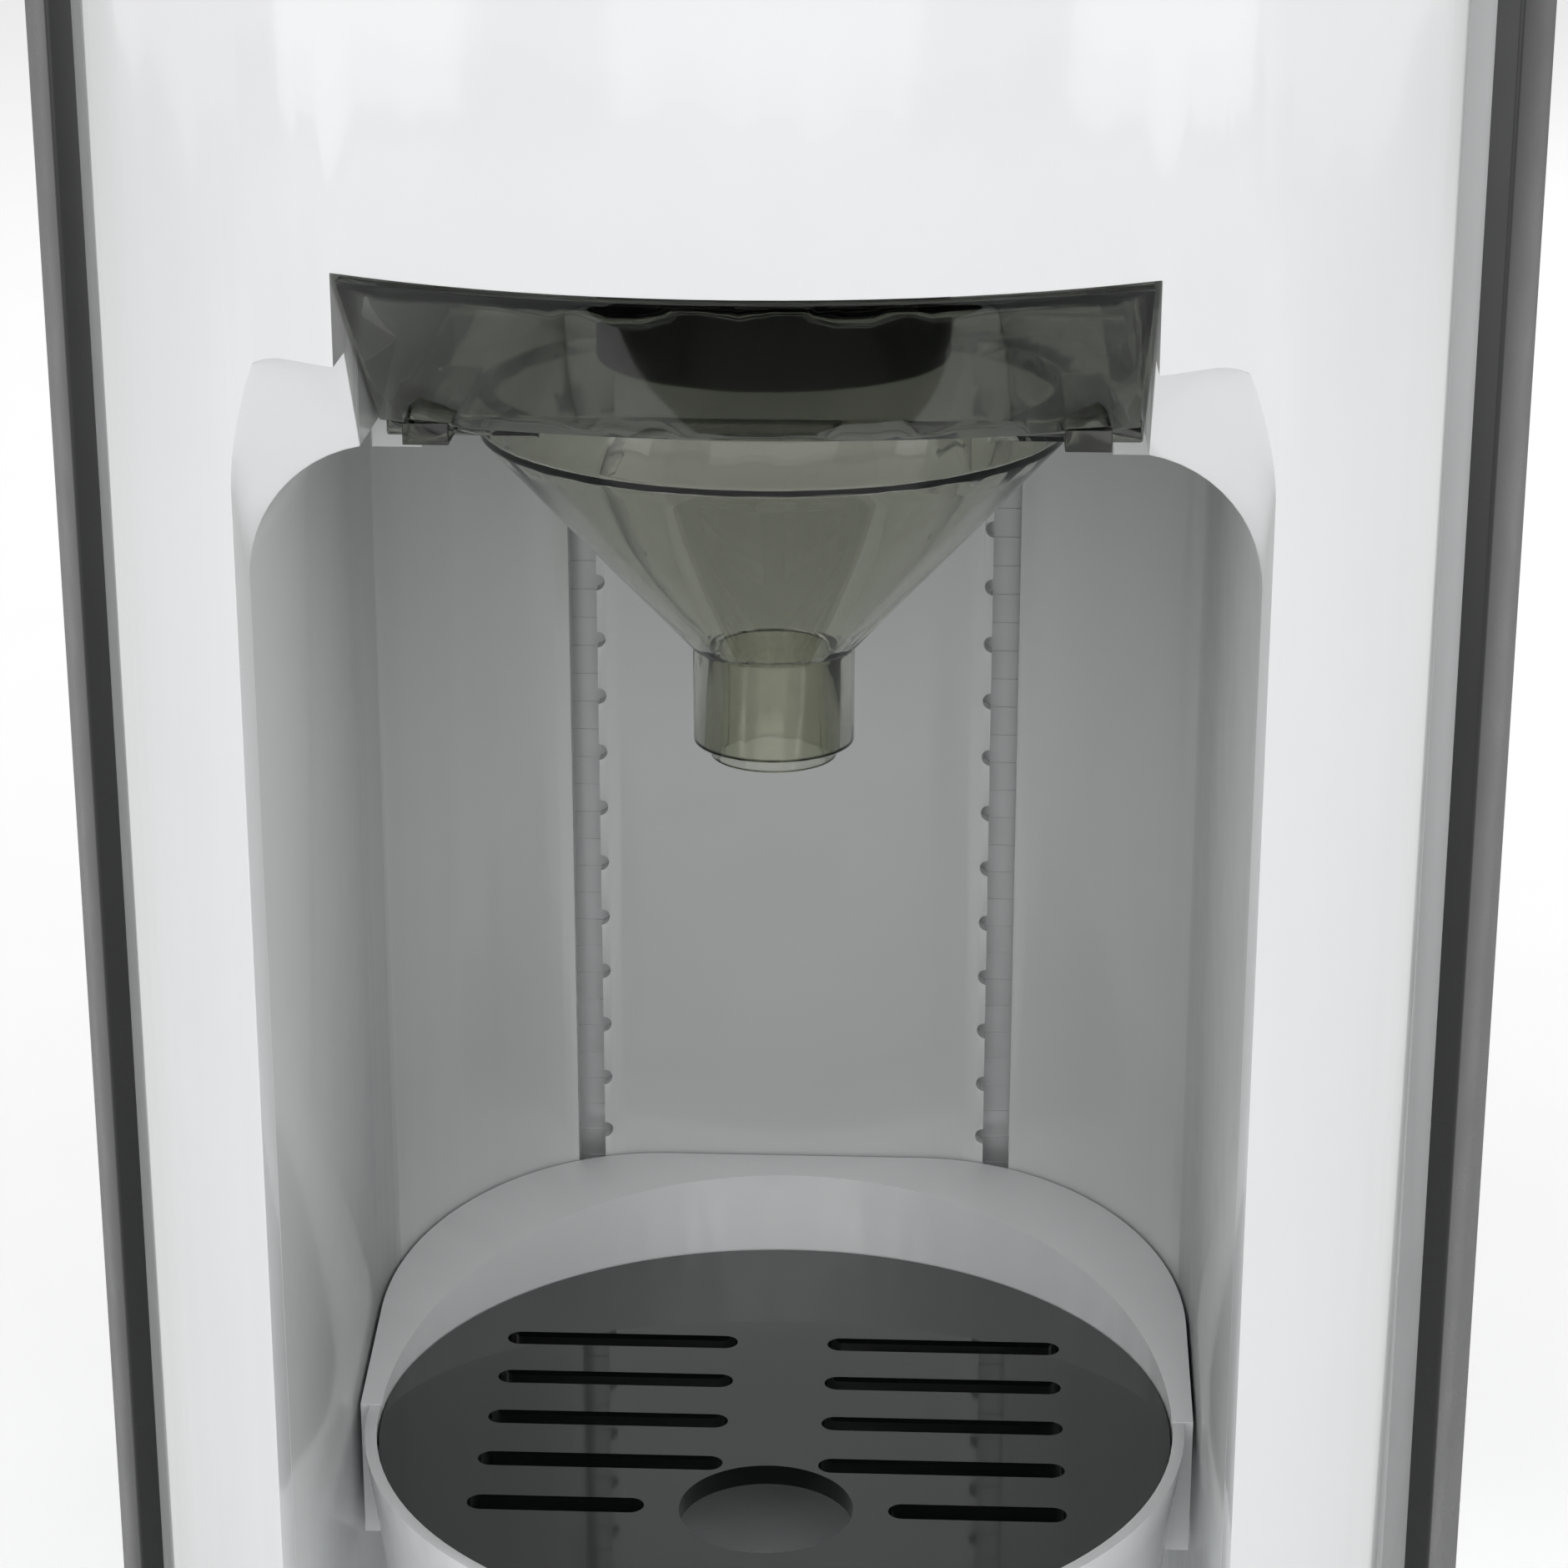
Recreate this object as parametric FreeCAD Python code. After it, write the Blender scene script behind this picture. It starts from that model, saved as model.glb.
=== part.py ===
import FreeCAD, Part
import math
import os

# Baby formula maker: a countertop machine that doses powder and warm water through a funnel
# over the stand in its arched bay. Millimetres, +Z up, the front faces -Y, and the origin is
# the middle of the footprint on the counter.

V = FreeCAD.Vector
UP = V(0, 0, 1)

# Body plan
front_y = -145.0            # foremost point of the front shell
back_y = 145.0              # rearmost point of the water tank
shell_radius = 78.6         # round front
crease_setback = 7.6        # crease between the round front and the flared flank
flare_deg = 21.0            # slope of the flank behind the crease
flank_end_y = -62.0         # where the white flank meets the black trim
shell_wall = 3.0
half_width = 91.7           # outer face of the trim
trim_nose = 3.1             # flat front facet of the trim
trim_slope_depth = 14.0     # depth of the trim's slanted facet
trim_end_y = -36.0          # where the trim meets the rear housing
trim_wall = 3.8
housing_step = 0.7          # how far the rear housing lies inside the trim
bulkhead_y = 58.0           # rear face of the wall in front of the water tank
vents = 6                   # slots in each side of the rear housing
vent_low_z = 60.0
vent_pitch = 8.0
vent_width = 2.8
vent_front_inset = 22.0
vent_rear_inset = 18.0

# Heights
foot_height = 4.0
base_thickness = 4.0
panel_slope_deg = 14.0      # control panel against the counter
panel_low_z = 280.4         # foremost point of the control panel
panel_back_y = -92.0        # where the sloping panel meets the level deck
deck_thickness = 3.0
foot_radius = 9.0
foot_recess = 1.0
front_foot_inset = 28.6     # inside the round front's flank
front_foot_setback = 37.0
rear_foot_inset = 33.0      # inside the tank's flank
rear_foot_setback = 47.0

# Bottle bay
bay_axis_y = -73.0          # axis of the drip plate, funnel and powder outlet
bay_half_width = 54.0
bay_back_y = -17.0
bay_corner = 36.0           # plan radius between the side and back walls
bay_top_z = 224.0
bay_arch_radius = 15.0
bay_wall = 2.5
bay_front_y = -118.0        # where the liner meets the front shell's frame
lip_rise = 11.5             # the front shell's opening stands this much higher than the bay
lip_depth = 8.0             # the opening narrows to the bay's arch over this depth
lip_widening = 1.0
lip_corner = 8.0
frame_half_width = 64.0
pocket_half_width = 41.6    # hollow behind the funnel cover
pocket_top_z = 245.2
pocket_back_y = -44.0
groove_x = 28.4             # guide grooves in the back wall
groove_width = 3.6
groove_low_z = 12.0
groove_top_z = 218.0
groove_gate_width = 7.8     # wide top end where the stand's hooks go in
groove_gate_height = 14.0
detent_radius = 1.1
detent_pitch = 8.0

# Stand and drip plate
plate_top_z = 85.0
plate_radius = 50.5
plate_thickness = 2.6
plate_gap = 0.3
slot_pitch = 11.0
slot_rows = 5
slot_width = 3.6
slot_reach = 36.9
slot_inner = 6.0
slot_inner_front = 15.0
finger_radius = 10.7
finger_offset = 22.0
rim_width = 1.5
rim_rise = 0.9              # rim above the drip plate
stand_depth = 17.5
stand_taper = 2.4
stand_wall = 2.2
ledge_width = 3.0
saddle_slope_deg = 12.5
saddle_gap = 0.5            # stand to bay wall
stand_travel = 57.0
hook_width = 7.0
hook_height = 22.0
hook_thickness = 2.4
hook_gap = 0.4

# Funnel
funnel_radius = 34.6
funnel_wall = 1.8
funnel_rim_z = 216.0
funnel_plate_z = 220.0
funnel_plate_thickness = 2.4
funnel_plate_half_width = 42.0
funnel_plate_front = 24.0   # funnel axis to the plate's front edge
funnel_plate_back = 36.0
funnel_shoulder_radius = 28.2
funnel_shoulder_z = 209.0
funnel_neck_radius = 9.7
funnel_neck_z = 189.0
funnel_sleeve_z = 177.3
nozzle_low_z = 175.4
nozzle_radius = 7.7
nozzle_wall = 1.4
nozzle_top_z = 196.0
rail_web = 2.4
rail_shelf = 3.4
rail_shelf_thickness = 2.6
rail_setback = 27.0         # front end of the rails behind the liner's front edge
slide_gap = 0.3

# Funnel cover
cover_half_width = 41.0
cover_top_z = 244.6
cover_low_z = 224.3
cover_top_y = -144.5        # middle of the top edge
cover_low_y = -116.0        # middle of the bottom edge
cover_top_bow = 10.5        # how far the middle stands out in front of the corners
cover_low_bow = 8.0
cover_wall = 2.4
cover_arm_width = 5.0
cover_arm_inset = 3.0
cover_arm_length = 32.0
cover_sill_y = -105.0       # front edge of the straight sill behind the screen
cover_sill_depth = 3.0
cover_sill_height = 1.9

# Powder container and its drive
container_y = -22.0
container_radius = 62.0
container_wall = 2.5
container_seat_gap = 0.8    # container to dock floor
container_floor = 3.0
container_height = 50.7
dock_gap = 1.5
dock_wall = 2.5
dock_floor_z = 271.0
outlet_offset = 42.0        # powder outlet to container axis
outlet_radius = 9.0
dose_height = 9.5
dose_radius = 57.0
dose_pockets = 8
dose_pocket_radius = 8.4
hub_radius = 9.0
running_gap = 0.3
scraper_half_width = 14.0
scraper_thickness = 1.6
scraper_inner = 26.0
stir_radius = 53.0
stir_blades = 4
stir_blade_width = 5.0
stir_blade_height = 3.0
stir_headroom = 15.0        # fins to the lid's skirt
stir_fin_length = 14.0
hub_rise = 3.0              # hub above the fins
shaft_reach = 8.0           # shaft into the stirring wheel
stir_fin_thickness = 2.2
lid_thickness = 4.0
lid_skirt = 4.0
lid_skirt_wall = 2.0
lid_pin_setback = 1.0       # knuckle to the container's wall
lid_pin_rise = 2.3
lid_crown = 1.0             # rise of the lid's middle
lid_skirt_gap = 0.6
lid_grip_radius = 16.0
lid_grip_height = 5.0
shaft_radius = 4.0
shaft_running = 0.05
hex_flat = 7.0              # across flats of the drive end
hex_gap = 0.15
gear_module = 1.0
gear_teeth = 48
pinion_teeth = 12
gear_thickness = 6.0
gear_low_z = 261.5
gear_backlash = 0.25
motor_radius = 18.0
motor_length = 50.0
motor_shaft_radius = 2.0
bracket_z = 255.0
bracket_thickness = 3.0
bracket_half_width = 45.0
bracket_front_y = -31.0
bracket_rear_y = 30.0
bracket_post_radius = 4.0
bracket_post_inset = 7.0
motor_screw_offset = 11.0
motor_screw_length = 8.0
gear_hole_radius = 4.5
gear_hole_offset = 14.0
gear_holes = 6
bush_radius = 7.0
bush_flange = 2.0

# Powder outlet and water spout
chute_top_radius = 12.0
chute_ring_radius = 20.5
chute_ring_z = 233.0
chute_low_z = 225.2
chute_wall = 2.0
spout_radius = 4.0
spout_bore = 2.2
spout_offset = 27.0
spout_elbow_z = 251.8       # level of the spout's side nipple
spout_nipple = 12.0

# Water tank
tank_gap = 2.3              # bulkhead to tank
tank_inset = 1.7            # tank's flank inside the trim's outer face
tank_corner = 42.0
tank_wall = 2.5
tank_top_z = 288.0
platform_top_z = 20.0
platform_wall = 2.5
seat_gap = 0.1
neck_y = 100.0
neck_radius = 12.0
neck_wall = 2.4
neck_length = 7.2
neck_floor = 2.0
neck_hole_radius = 4.0
cup_gap = 1.0
cup_wall = 2.4
cup_floor_z = 10.6
cup_floor = 1.6
probe_radius = 1.5
plunger_radius = 6.4
plunger_head = 2.0
plunger_stem_radius = 2.4
plunger_travel = 3.0
spring_radius = 4.6
spring_wire = 0.8
spring_turns = 3
spring_height = 6.6
bridge_width = 4.0
bridge_height = 2.0
tank_lid_thickness = 4.0

# Hinges of the two lids
pin_radius = 1.5
pin_fit = 0.02
knuckle_radius = 3.2
knuckle_gap = 0.3
tank_pin_setback = 1.2      # knuckle to the tank's front wall
tank_pin_rise = 0.4
ear_thickness = 3.2
container_knuckle_half = 11.0
ear_depth = 12.0            # container's ears below its rim
tank_knuckle_half = 16.0

# Control panel
panel_thickness = 3.0
window_half_width = 23.0
window_half_height = 11.0
window_thickness = 1.5
window_ledge = 2.0
window_v = 10.0
button_gap = 0.3
button_proud = 0.8
button_travel = 0.8
button_depth = 6.0
button_flange = 1.5
button_flange_thickness = 1.5
board_depth = 7.4           # panel top to board top
board_thickness = 1.6
board_post_radius = 2.6
board_half_width = 52.0
board_half_height = 24.0
board_screw_length = 4.0

# Internals
pump_radius = 19.0
pump_length = 52.0
pump_x = -40.0
pump_y = 10.0
pump_z = 36.0
pump_cradle = 14.0
pump_inlet_offset = 18.0
pump_inlet_drop = 8.0
pump_outlet_offset = 14.0
heater_radius = 21.0
heater_length = 78.0
heater_x = 48.0
heater_y = 24.0
heater_low_z = 40.0
heater_cap = 6.0
heater_bracket_wall = 2.6
hose_radius = 4.0
hose_bore = 2.2
pcb_thickness = 1.6
pcb_standoff = 5.0
main_board_margin = 15.0    # board edge to the housing's ends
main_board_low_z = 150.0
main_board_height = 85.0
power_board_low_z = 160.0
power_board_height = 72.0
board_foot_radius = 2.5
board_foot_inset = 4.0
screw_radius = 1.4
screw_head_radius = 2.8
screw_head_height = 1.8
screw_length = 14.0
rear_screw_length = 10.0
deck_screw_length = 12.0
screw_clear = 0.12
side_screw_inset = 9.0      # screw to the rear housing's face
front_screw_inset = 14.1    # screw to the round front's flank
front_screw_setback = 25.6  # screw to the round front's axis
rear_screw_inset = 30.0     # screw to the tank's flank
rear_screw_setback = 25.0
base_screw_inset = 10.0     # screw to the rear housing's ends
deck_screw_inset = 12.0
boss_rib = 2.4
boss_radius = 4.5
gland_radius = 6.0
gland_bore = 3.6
gland_inset = 35.0          # gland to the tank's flank
gland_proud = 2.0           # room behind the platform for the gland's flange

# Places worked out from the sizes above
base_z = foot_height
tank_half_width = half_width - tank_inset
container_floor_z = dock_floor_z + dock_wall + container_seat_gap
container_top_z = container_floor_z + container_height
floor_z = base_z + base_thickness
shell_y = front_y + shell_radius
panel_slope = math.radians(panel_slope_deg)
deck_top_z = panel_low_z + (panel_back_y - front_y) * math.tan(panel_slope)
deck_low_z = deck_top_z - deck_thickness
crease = math.asin(crease_setback / shell_radius)
flare = math.tan(math.radians(flare_deg))
flank_x = shell_radius * math.cos(crease) + (flank_end_y - shell_y + crease_setback) * flare
housing_x = half_width - housing_step
stand_low_z = plate_top_z - stand_depth
tank_y = bulkhead_y + tank_gap
gear_pitch_radius = gear_module * gear_teeth / 2
pinion_pitch_radius = gear_module * pinion_teeth / 2
pinion_y = container_y + gear_pitch_radius + pinion_pitch_radius
dose_z = container_floor_z + container_floor + running_gap
stir_z = dose_z + dose_height + running_gap + scraper_thickness + running_gap
stir_fin_top_z = container_top_z + running_gap - lid_skirt - stir_headroom
shaft_top_z = stir_z + shaft_reach
lid_pin_y = container_y + container_radius + knuckle_radius + lid_pin_setback
lid_pin_z = container_top_z + lid_pin_rise
tank_floor_z = platform_top_z + seat_gap
neck_low_z = tank_floor_z - neck_length
cup_hose_z = floor_z + hose_radius + 1.0
panel_mid_y = (front_y + panel_back_y) / 2
panel_mid_z = (panel_low_z + deck_top_z) / 2
platform_y = back_y - gland_proud
gland_x = -tank_half_width + gland_inset
gland_z = (floor_z + platform_top_z - platform_wall) / 2
plunger_z = neck_low_z + neck_floor + seat_gap
tank_pin_y = tank_y + knuckle_radius + tank_pin_setback
tank_pin_z = tank_top_z + knuckle_radius + tank_pin_rise
pump_inlet_x = pump_x + pump_inlet_offset
pump_inlet_z = pump_z - pump_inlet_drop
pump_outlet_x = pump_x + pump_outlet_offset
spout_y = bay_axis_y + spout_offset
motor_screw_places = [(side * motor_screw_offset, pinion_y) for side in (-1, 1)]
bracket_posts = [(side * (bracket_half_width - bracket_post_inset), y) for side in (-1, 1)
                 for y in (bracket_front_y + bracket_post_inset, bracket_rear_y - bracket_post_inset - 1)]
foot_places = [(side * (shell_radius - front_foot_inset), front_y + front_foot_setback) for side in (-1, 1)]
foot_places += [(side * (tank_half_width - rear_foot_inset), back_y - rear_foot_setback) for side in (-1, 1)]
side_screw_x = housing_x - side_screw_inset
front_screw_place = (shell_radius - front_screw_inset, shell_y - front_screw_setback)
base_screw_places = [(side * x, y) for side in (-1, 1) for x, y in (
    front_screw_place,
    (side_screw_x, trim_end_y + base_screw_inset),
    (side_screw_x, bulkhead_y - base_screw_inset),
)]
rear_screw_places = [(side * (tank_half_width - rear_screw_inset), platform_y - rear_screw_setback)
                     for side in (-1, 1)]
deck_screw_places = [(side * side_screw_x, y) for side in (-1, 1)
                     for y in (trim_end_y + deck_screw_inset, bulkhead_y - deck_screw_inset)]
vent_levels = [vent_low_z + vent_pitch * k for k in range(vents)]


# Shape helpers
def box(x0, x1, y0, y1, z0, z1):
    return Part.makeBox(x1 - x0, y1 - y0, z1 - z0, V(x0, y0, z0))


def rod(radius, x, y, z0, z1):
    return Part.makeCylinder(radius, z1 - z0, V(x, y, z0))


def tube(outer, inner, x, y, z0, z1):
    return rod(outer, x, y, z0, z1).cut(rod(inner, x, y, z0 - 1, z1 + 1))


def cross_rod(radius, y, z, x0, x1):
    return Part.makeCylinder(radius, x1 - x0, V(x0, y, z), V(1, 0, 0))


def join(shapes):
    whole = shapes[0].multiFuse(shapes[1:]) if len(shapes) > 1 else shapes[0]
    return whole.removeSplitter()


def mirrored(shape):
    return shape.mirror(V(0, 0, 0), V(1, 0, 0))


def closed_wire(start, steps):
    """A wire through start and steps. A step is a point, or an arc's middle and end points."""
    edges = []
    here = start
    for step in steps:
        if isinstance(step, tuple):
            edges.append(Part.Arc(here, step[0], step[1]).toShape())
            here = step[1]
        else:
            edges.append(Part.makeLine(here, step))
            here = step
    if here.distanceToPoint(start) > 1e-6:
        edges.append(Part.makeLine(here, start))
    return Part.Wire(edges)


def prism(wire, direction):
    return Part.Face(wire).extrude(direction)


def polygon_prism(points, direction):
    return prism(Part.makePolygon(list(points) + [points[0]]), direction)


def turned_profile(points, x, y):
    """Solid of revolution about a vertical axis from (radius, height) points."""
    corners = [V(x + r, y, z) for r, z in points]
    face = Part.Face(Part.makePolygon(corners + [corners[0]]))
    return face.revolve(V(x, y, 0), UP, 360)


# Plans and profiles that several pieces share
def front_plan(inset, rear, z0, z1):
    """Round front and flared flanks, up to the plane y = rear."""
    radius = shell_radius - inset
    x = radius * math.cos(crease)
    y = shell_y - radius * math.sin(crease)
    side = x + (rear - y) * flare
    wire = closed_wire(V(-side, rear, z0), [
        V(-x, y, z0),
        (V(0, shell_y - radius, z0), V(x, y, z0)),
        V(side, rear, z0),
    ])
    return prism(wire, V(0, 0, z1 - z0))


def rear_plan(side, y0, y1, corner, z0, z1):
    """Block with a flat front at y0 and two rounded rear corners."""
    turn = corner * (1 - math.sqrt(0.5))
    wire = closed_wire(V(-side, y0, z0), [
        V(side, y0, z0),
        V(side, y1 - corner, z0),
        (V(side - turn, y1 - turn, z0), V(side - corner, y1, z0)),
        V(-side + corner, y1, z0),
        (V(-side + turn, y1 - turn, z0), V(-side, y1 - corner, z0)),
    ])
    return prism(wire, V(0, 0, z1 - z0))


def trim_section(z0, z1):
    """Right-hand trim strip: flat nose, slanted facet, then a flank."""
    inner_x = flank_x - shell_wall - 0.3
    slope_y = flank_end_y + trim_slope_depth
    return polygon_prism([
        V(inner_x, flank_end_y, z0),
        V(flank_x + trim_nose, flank_end_y, z0),
        V(half_width, slope_y, z0),
        V(half_width, trim_end_y, z0),
        V(half_width - trim_wall, trim_end_y, z0),
        V(half_width - trim_wall, slope_y + 1, z0),
        V(inner_x, flank_end_y + 5, z0),
    ], V(0, 0, z1 - z0))


def filled_trim(z0, z1):
    """Both strips and all that lies between them."""
    slope_y = flank_end_y + trim_slope_depth
    x = flank_x + trim_nose
    return polygon_prism([
        V(-x, flank_end_y, z0), V(x, flank_end_y, z0), V(half_width, slope_y, z0),
        V(half_width, trim_end_y, z0), V(-half_width, trim_end_y, z0), V(-half_width, slope_y, z0),
    ], V(0, 0, z1 - z0))


def whole_plan(rear, z0, z1):
    """Outer plan of the machine from the round front to the plane y = rear."""
    return join([
        front_plan(0, flank_end_y, z0, z1),
        filled_trim(z0, z1),
        box(-housing_x, housing_x, trim_end_y, rear, z0, z1),
    ])


def bay_plan(outset, z0, z1):
    """Plan of the bottle bay: straight sides, round rear corners and a flat back."""
    side = bay_half_width + outset
    back = bay_back_y + outset
    corner = bay_corner + outset
    turn = corner * (1 - math.sqrt(0.5))
    y0 = front_y - 10
    wire = closed_wire(V(-side, y0, z0), [
        V(side, y0, z0),
        V(side, back - corner, z0),
        (V(side - turn, back - turn, z0), V(side - corner, back, z0)),
        V(-side + corner, back, z0),
        (V(-side + turn, back - turn, z0), V(-side, back - corner, z0)),
    ])
    return prism(wire, V(0, 0, z1 - z0))


def arch_wire(side, top, radius, y, low):
    """Upright outline in the plane y: straight legs and a flat top with round corners."""
    turn = radius * (1 - math.sqrt(0.5))
    return closed_wire(V(-side, y, low), [
        V(side, y, low),
        V(side, y, top - radius),
        (V(side - turn, y, top - turn), V(side - radius, y, top)),
        V(-side + radius, y, top),
        (V(-side + turn, y, top - turn), V(-side, y, top - radius)),
    ])


def bay_volume(outset):
    """The bay's hollow, grown by outset."""
    side = bay_half_width + outset
    arch = prism(arch_wire(side, bay_top_z + outset, bay_arch_radius + outset, front_y - 10, 0),
                 V(0, back_y - front_y, 0))
    return bay_plan(outset, 0, deck_top_z).common(arch)


def above_roof(drop):
    """Everything above the sloping panel and the level deck, lowered by drop."""
    cut_y = front_y - 20
    slope_drop = drop / math.cos(panel_slope)
    z = panel_low_z - slope_drop + (cut_y - front_y) * math.tan(panel_slope)
    bend_y = panel_back_y + (slope_drop - drop) / math.tan(panel_slope)
    far = back_y + 10
    width = half_width + 10
    return polygon_prism([
        V(-width, cut_y, z), V(-width, bend_y, deck_top_z - drop), V(-width, far, deck_top_z - drop),
        V(-width, far, deck_top_z + 100), V(-width, cut_y, deck_top_z + 100),
    ], V(2 * width, 0, 0))


def on_panel(shape):
    """Carry a shape from the panel's own frame (u right, v up the slope, w out) to its place."""
    placed = shape.copy()
    placed.rotate(V(0, 0, 0), V(1, 0, 0), panel_slope_deg)
    placed.translate(V(0, panel_mid_y, panel_mid_z))
    return placed


def gear(teeth, x, y, z0, z1, bore, phase_deg):
    """Spur gear with straight-sided teeth; a tooth points at phase_deg."""
    pitch = gear_module * teeth / 2
    tip = pitch + 0.85 * gear_module
    root = pitch - 1.15 * gear_module
    step = 2 * math.pi / teeth
    tip_half = 0.11 * step
    root_half = 0.25 * step + 0.30 * gear_module / root - gear_backlash / root
    points = []
    for tooth in range(teeth):
        middle = math.radians(phase_deg) + tooth * step
        for radius, turn in ((root, -root_half), (tip, -tip_half), (tip, tip_half), (root, root_half)):
            angle = middle + turn
            points.append(V(x + radius * math.cos(angle), y + radius * math.sin(angle), z0))
    return polygon_prism(points, V(0, 0, z1 - z0)).cut(rod(bore, x, y, z0 - 1, z1 + 1))


def hexagon(across, x, y, z0, z1):
    radius = across / math.sqrt(3)
    points = [V(x + radius * math.cos(math.radians(60 * k)), y + radius * math.sin(math.radians(60 * k)), z0)
              for k in range(6)]
    return polygon_prism(points, V(0, 0, z1 - z0))


def screw(x, y, head_z, direction, length):
    """Screw whose head rests at head_z; direction +1 drives upwards, -1 downwards."""
    axis = V(0, 0, direction)
    head = Part.makeCylinder(screw_head_radius, screw_head_height, V(x, y, head_z), -axis)
    shank = Part.makeCylinder(screw_radius, length, V(x, y, head_z), axis)
    drive = Part.makeCylinder(screw_radius, screw_head_height / 2,
                              V(x, y, head_z) - axis * screw_head_height, axis)
    return head.fuse(shank).cut(drive)


def hose(points, bend):
    """Hollow hose through points: straight runs joined by arcs of radius bend."""
    edges = []
    here = points[0]
    for before, corner, after in zip(points, points[1:], points[2:]):
        into = (corner - before).normalize()
        out = (after - corner).normalize()
        turn = into.getAngle(out)
        reach = bend * math.tan(turn / 2)
        start = corner - into * reach
        end = corner + out * reach
        inward = (out - into).normalize()
        middle = corner + inward * (bend / math.cos(turn / 2) - bend)
        edges.append(Part.makeLine(here, start))
        edges.append(Part.Arc(start, middle, end).toShape())
        here = end
    edges.append(Part.makeLine(here, points[-1]))
    path = Part.Wire(edges)
    direction = points[1] - points[0]
    solids = []
    for radius in (hose_radius, hose_bore):
        ring = Part.Wire([Part.Circle(points[0], direction, radius).toShape()])
        solids.append(path.makePipeShell([ring], True, False))
    return solids[0].cut(solids[1])


def two_arcs(start, start_direction, end, end_direction):
    """Two arcs that join start to end and leave and reach them along the given directions."""
    across = end - start
    both = start_direction + end_direction
    a = 2 * (1 - start_direction.dot(end_direction))
    b = 2 * across.dot(both)
    reach = (math.sqrt(b * b + 4 * a * across.dot(across)) - b) / (2 * a)
    knee_1 = start + start_direction * reach
    knee_2 = end - end_direction * reach
    middle = (knee_1 + knee_2) * 0.5
    arcs = []
    for first, knee, last in ((start, knee_1, middle), (middle, knee_2, end)):
        weight = math.cos((knee - first).getAngle(last - first))
        crest = ((first + last) * 0.5 + knee * weight) * (1 / (1 + weight))
        arcs.append(Part.Arc(first, crest, last).toShape())
    return arcs


# Base and feet
def make_rubber_feet():
    return Part.makeCompound([rod(foot_radius, x, y, 0, base_z + foot_recess) for x, y in foot_places])


def make_base_plate():
    margin = 0.6
    plate = join([
        front_plan(margin, flank_end_y, base_z, floor_z),
        filled_trim(base_z, floor_z).common(box(-half_width + margin, half_width - margin,
                                                flank_end_y, trim_end_y, base_z, floor_z)),
        rear_plan(tank_half_width - margin, trim_end_y, platform_y, tank_corner, base_z, floor_z),
    ])
    for x, y in foot_places:
        plate = plate.cut(rod(foot_radius + 0.05, x, y, base_z - 1, base_z + foot_recess))
    for x, y in base_screw_places + rear_screw_places:
        plate = plate.cut(rod(screw_radius + screw_clear, x, y, base_z - 1, floor_z + 1))
        plate = plate.cut(rod(screw_head_radius + screw_clear, x, y, base_z - 1, base_z + screw_head_height))
    return plate


def make_housing_screws():
    head_z = base_z + screw_head_height
    made = [screw(x, y, head_z, 1, screw_length) for x, y in base_screw_places]
    made += [screw(x, y, head_z, 1, rear_screw_length) for x, y in rear_screw_places]
    made += [screw(x, y, deck_top_z - screw_head_height, -1, deck_screw_length) for x, y in deck_screw_places]
    return Part.makeCompound(made)


def screw_boss(x, y, z0, z1):
    return rod(boss_radius, x, y, z0, z1)


def boss_rib_to(x, far, y, z0, z1):
    """Rib that joins the boss at x to the wall at far."""
    return box(min(x, far), max(x, far), y - boss_rib / 2, y + boss_rib / 2, z0, z1)


def screw_hole(x, y, z0, depth):
    return rod(screw_radius + screw_clear, x, y, z0 - 1, z0 + depth)


# Housing
def make_front_shell():
    outer = front_plan(0, flank_end_y, floor_z, deck_top_z)
    inner = front_plan(shell_wall, flank_end_y, floor_z, deck_top_z)
    frame_top = pocket_top_z + shell_wall
    frame = outer.common(box(-frame_half_width, frame_half_width, front_y - 5, bay_front_y, floor_z, frame_top))
    bosses = []
    for x, y in base_screw_places:
        if y < flank_end_y:
            side = math.copysign(1, x)
            far = side * shell_radius
            bosses.append(screw_boss(x, y, floor_z, floor_z + screw_length))
            rib = boss_rib_to(x, far, y, floor_z, floor_z + screw_length)
            bosses.append(rib.common(outer))
    shell = join([outer.cut(inner), frame] + bosses)
    arch = prism(arch_wire(bay_half_width, bay_top_z, bay_arch_radius, front_y - 10, 0),
                 V(0, bay_front_y + 5 - front_y + 10, 0))
    lip_y = bay_front_y - lip_depth
    lip_wire = arch_wire(bay_half_width + lip_widening, bay_top_z + lip_rise, lip_corner, lip_y, 0)
    lip_front = prism(lip_wire, V(0, front_y - 10 - lip_y, 0))
    lip = Part.makeLoft([lip_wire, arch_wire(bay_half_width, bay_top_z, bay_arch_radius, bay_front_y, 0)],
                        True, True)
    pocket = box(-pocket_half_width, pocket_half_width, front_y - 5, bay_front_y + 5,
                 bay_top_z - 30, pocket_top_z)
    shell = shell.cut(arch).cut(lip_front).cut(lip).cut(pocket).cut(above_roof(deck_thickness))
    for x, y in base_screw_places:
        shell = shell.cut(screw_hole(x, y, floor_z, screw_length))
    return shell


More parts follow.
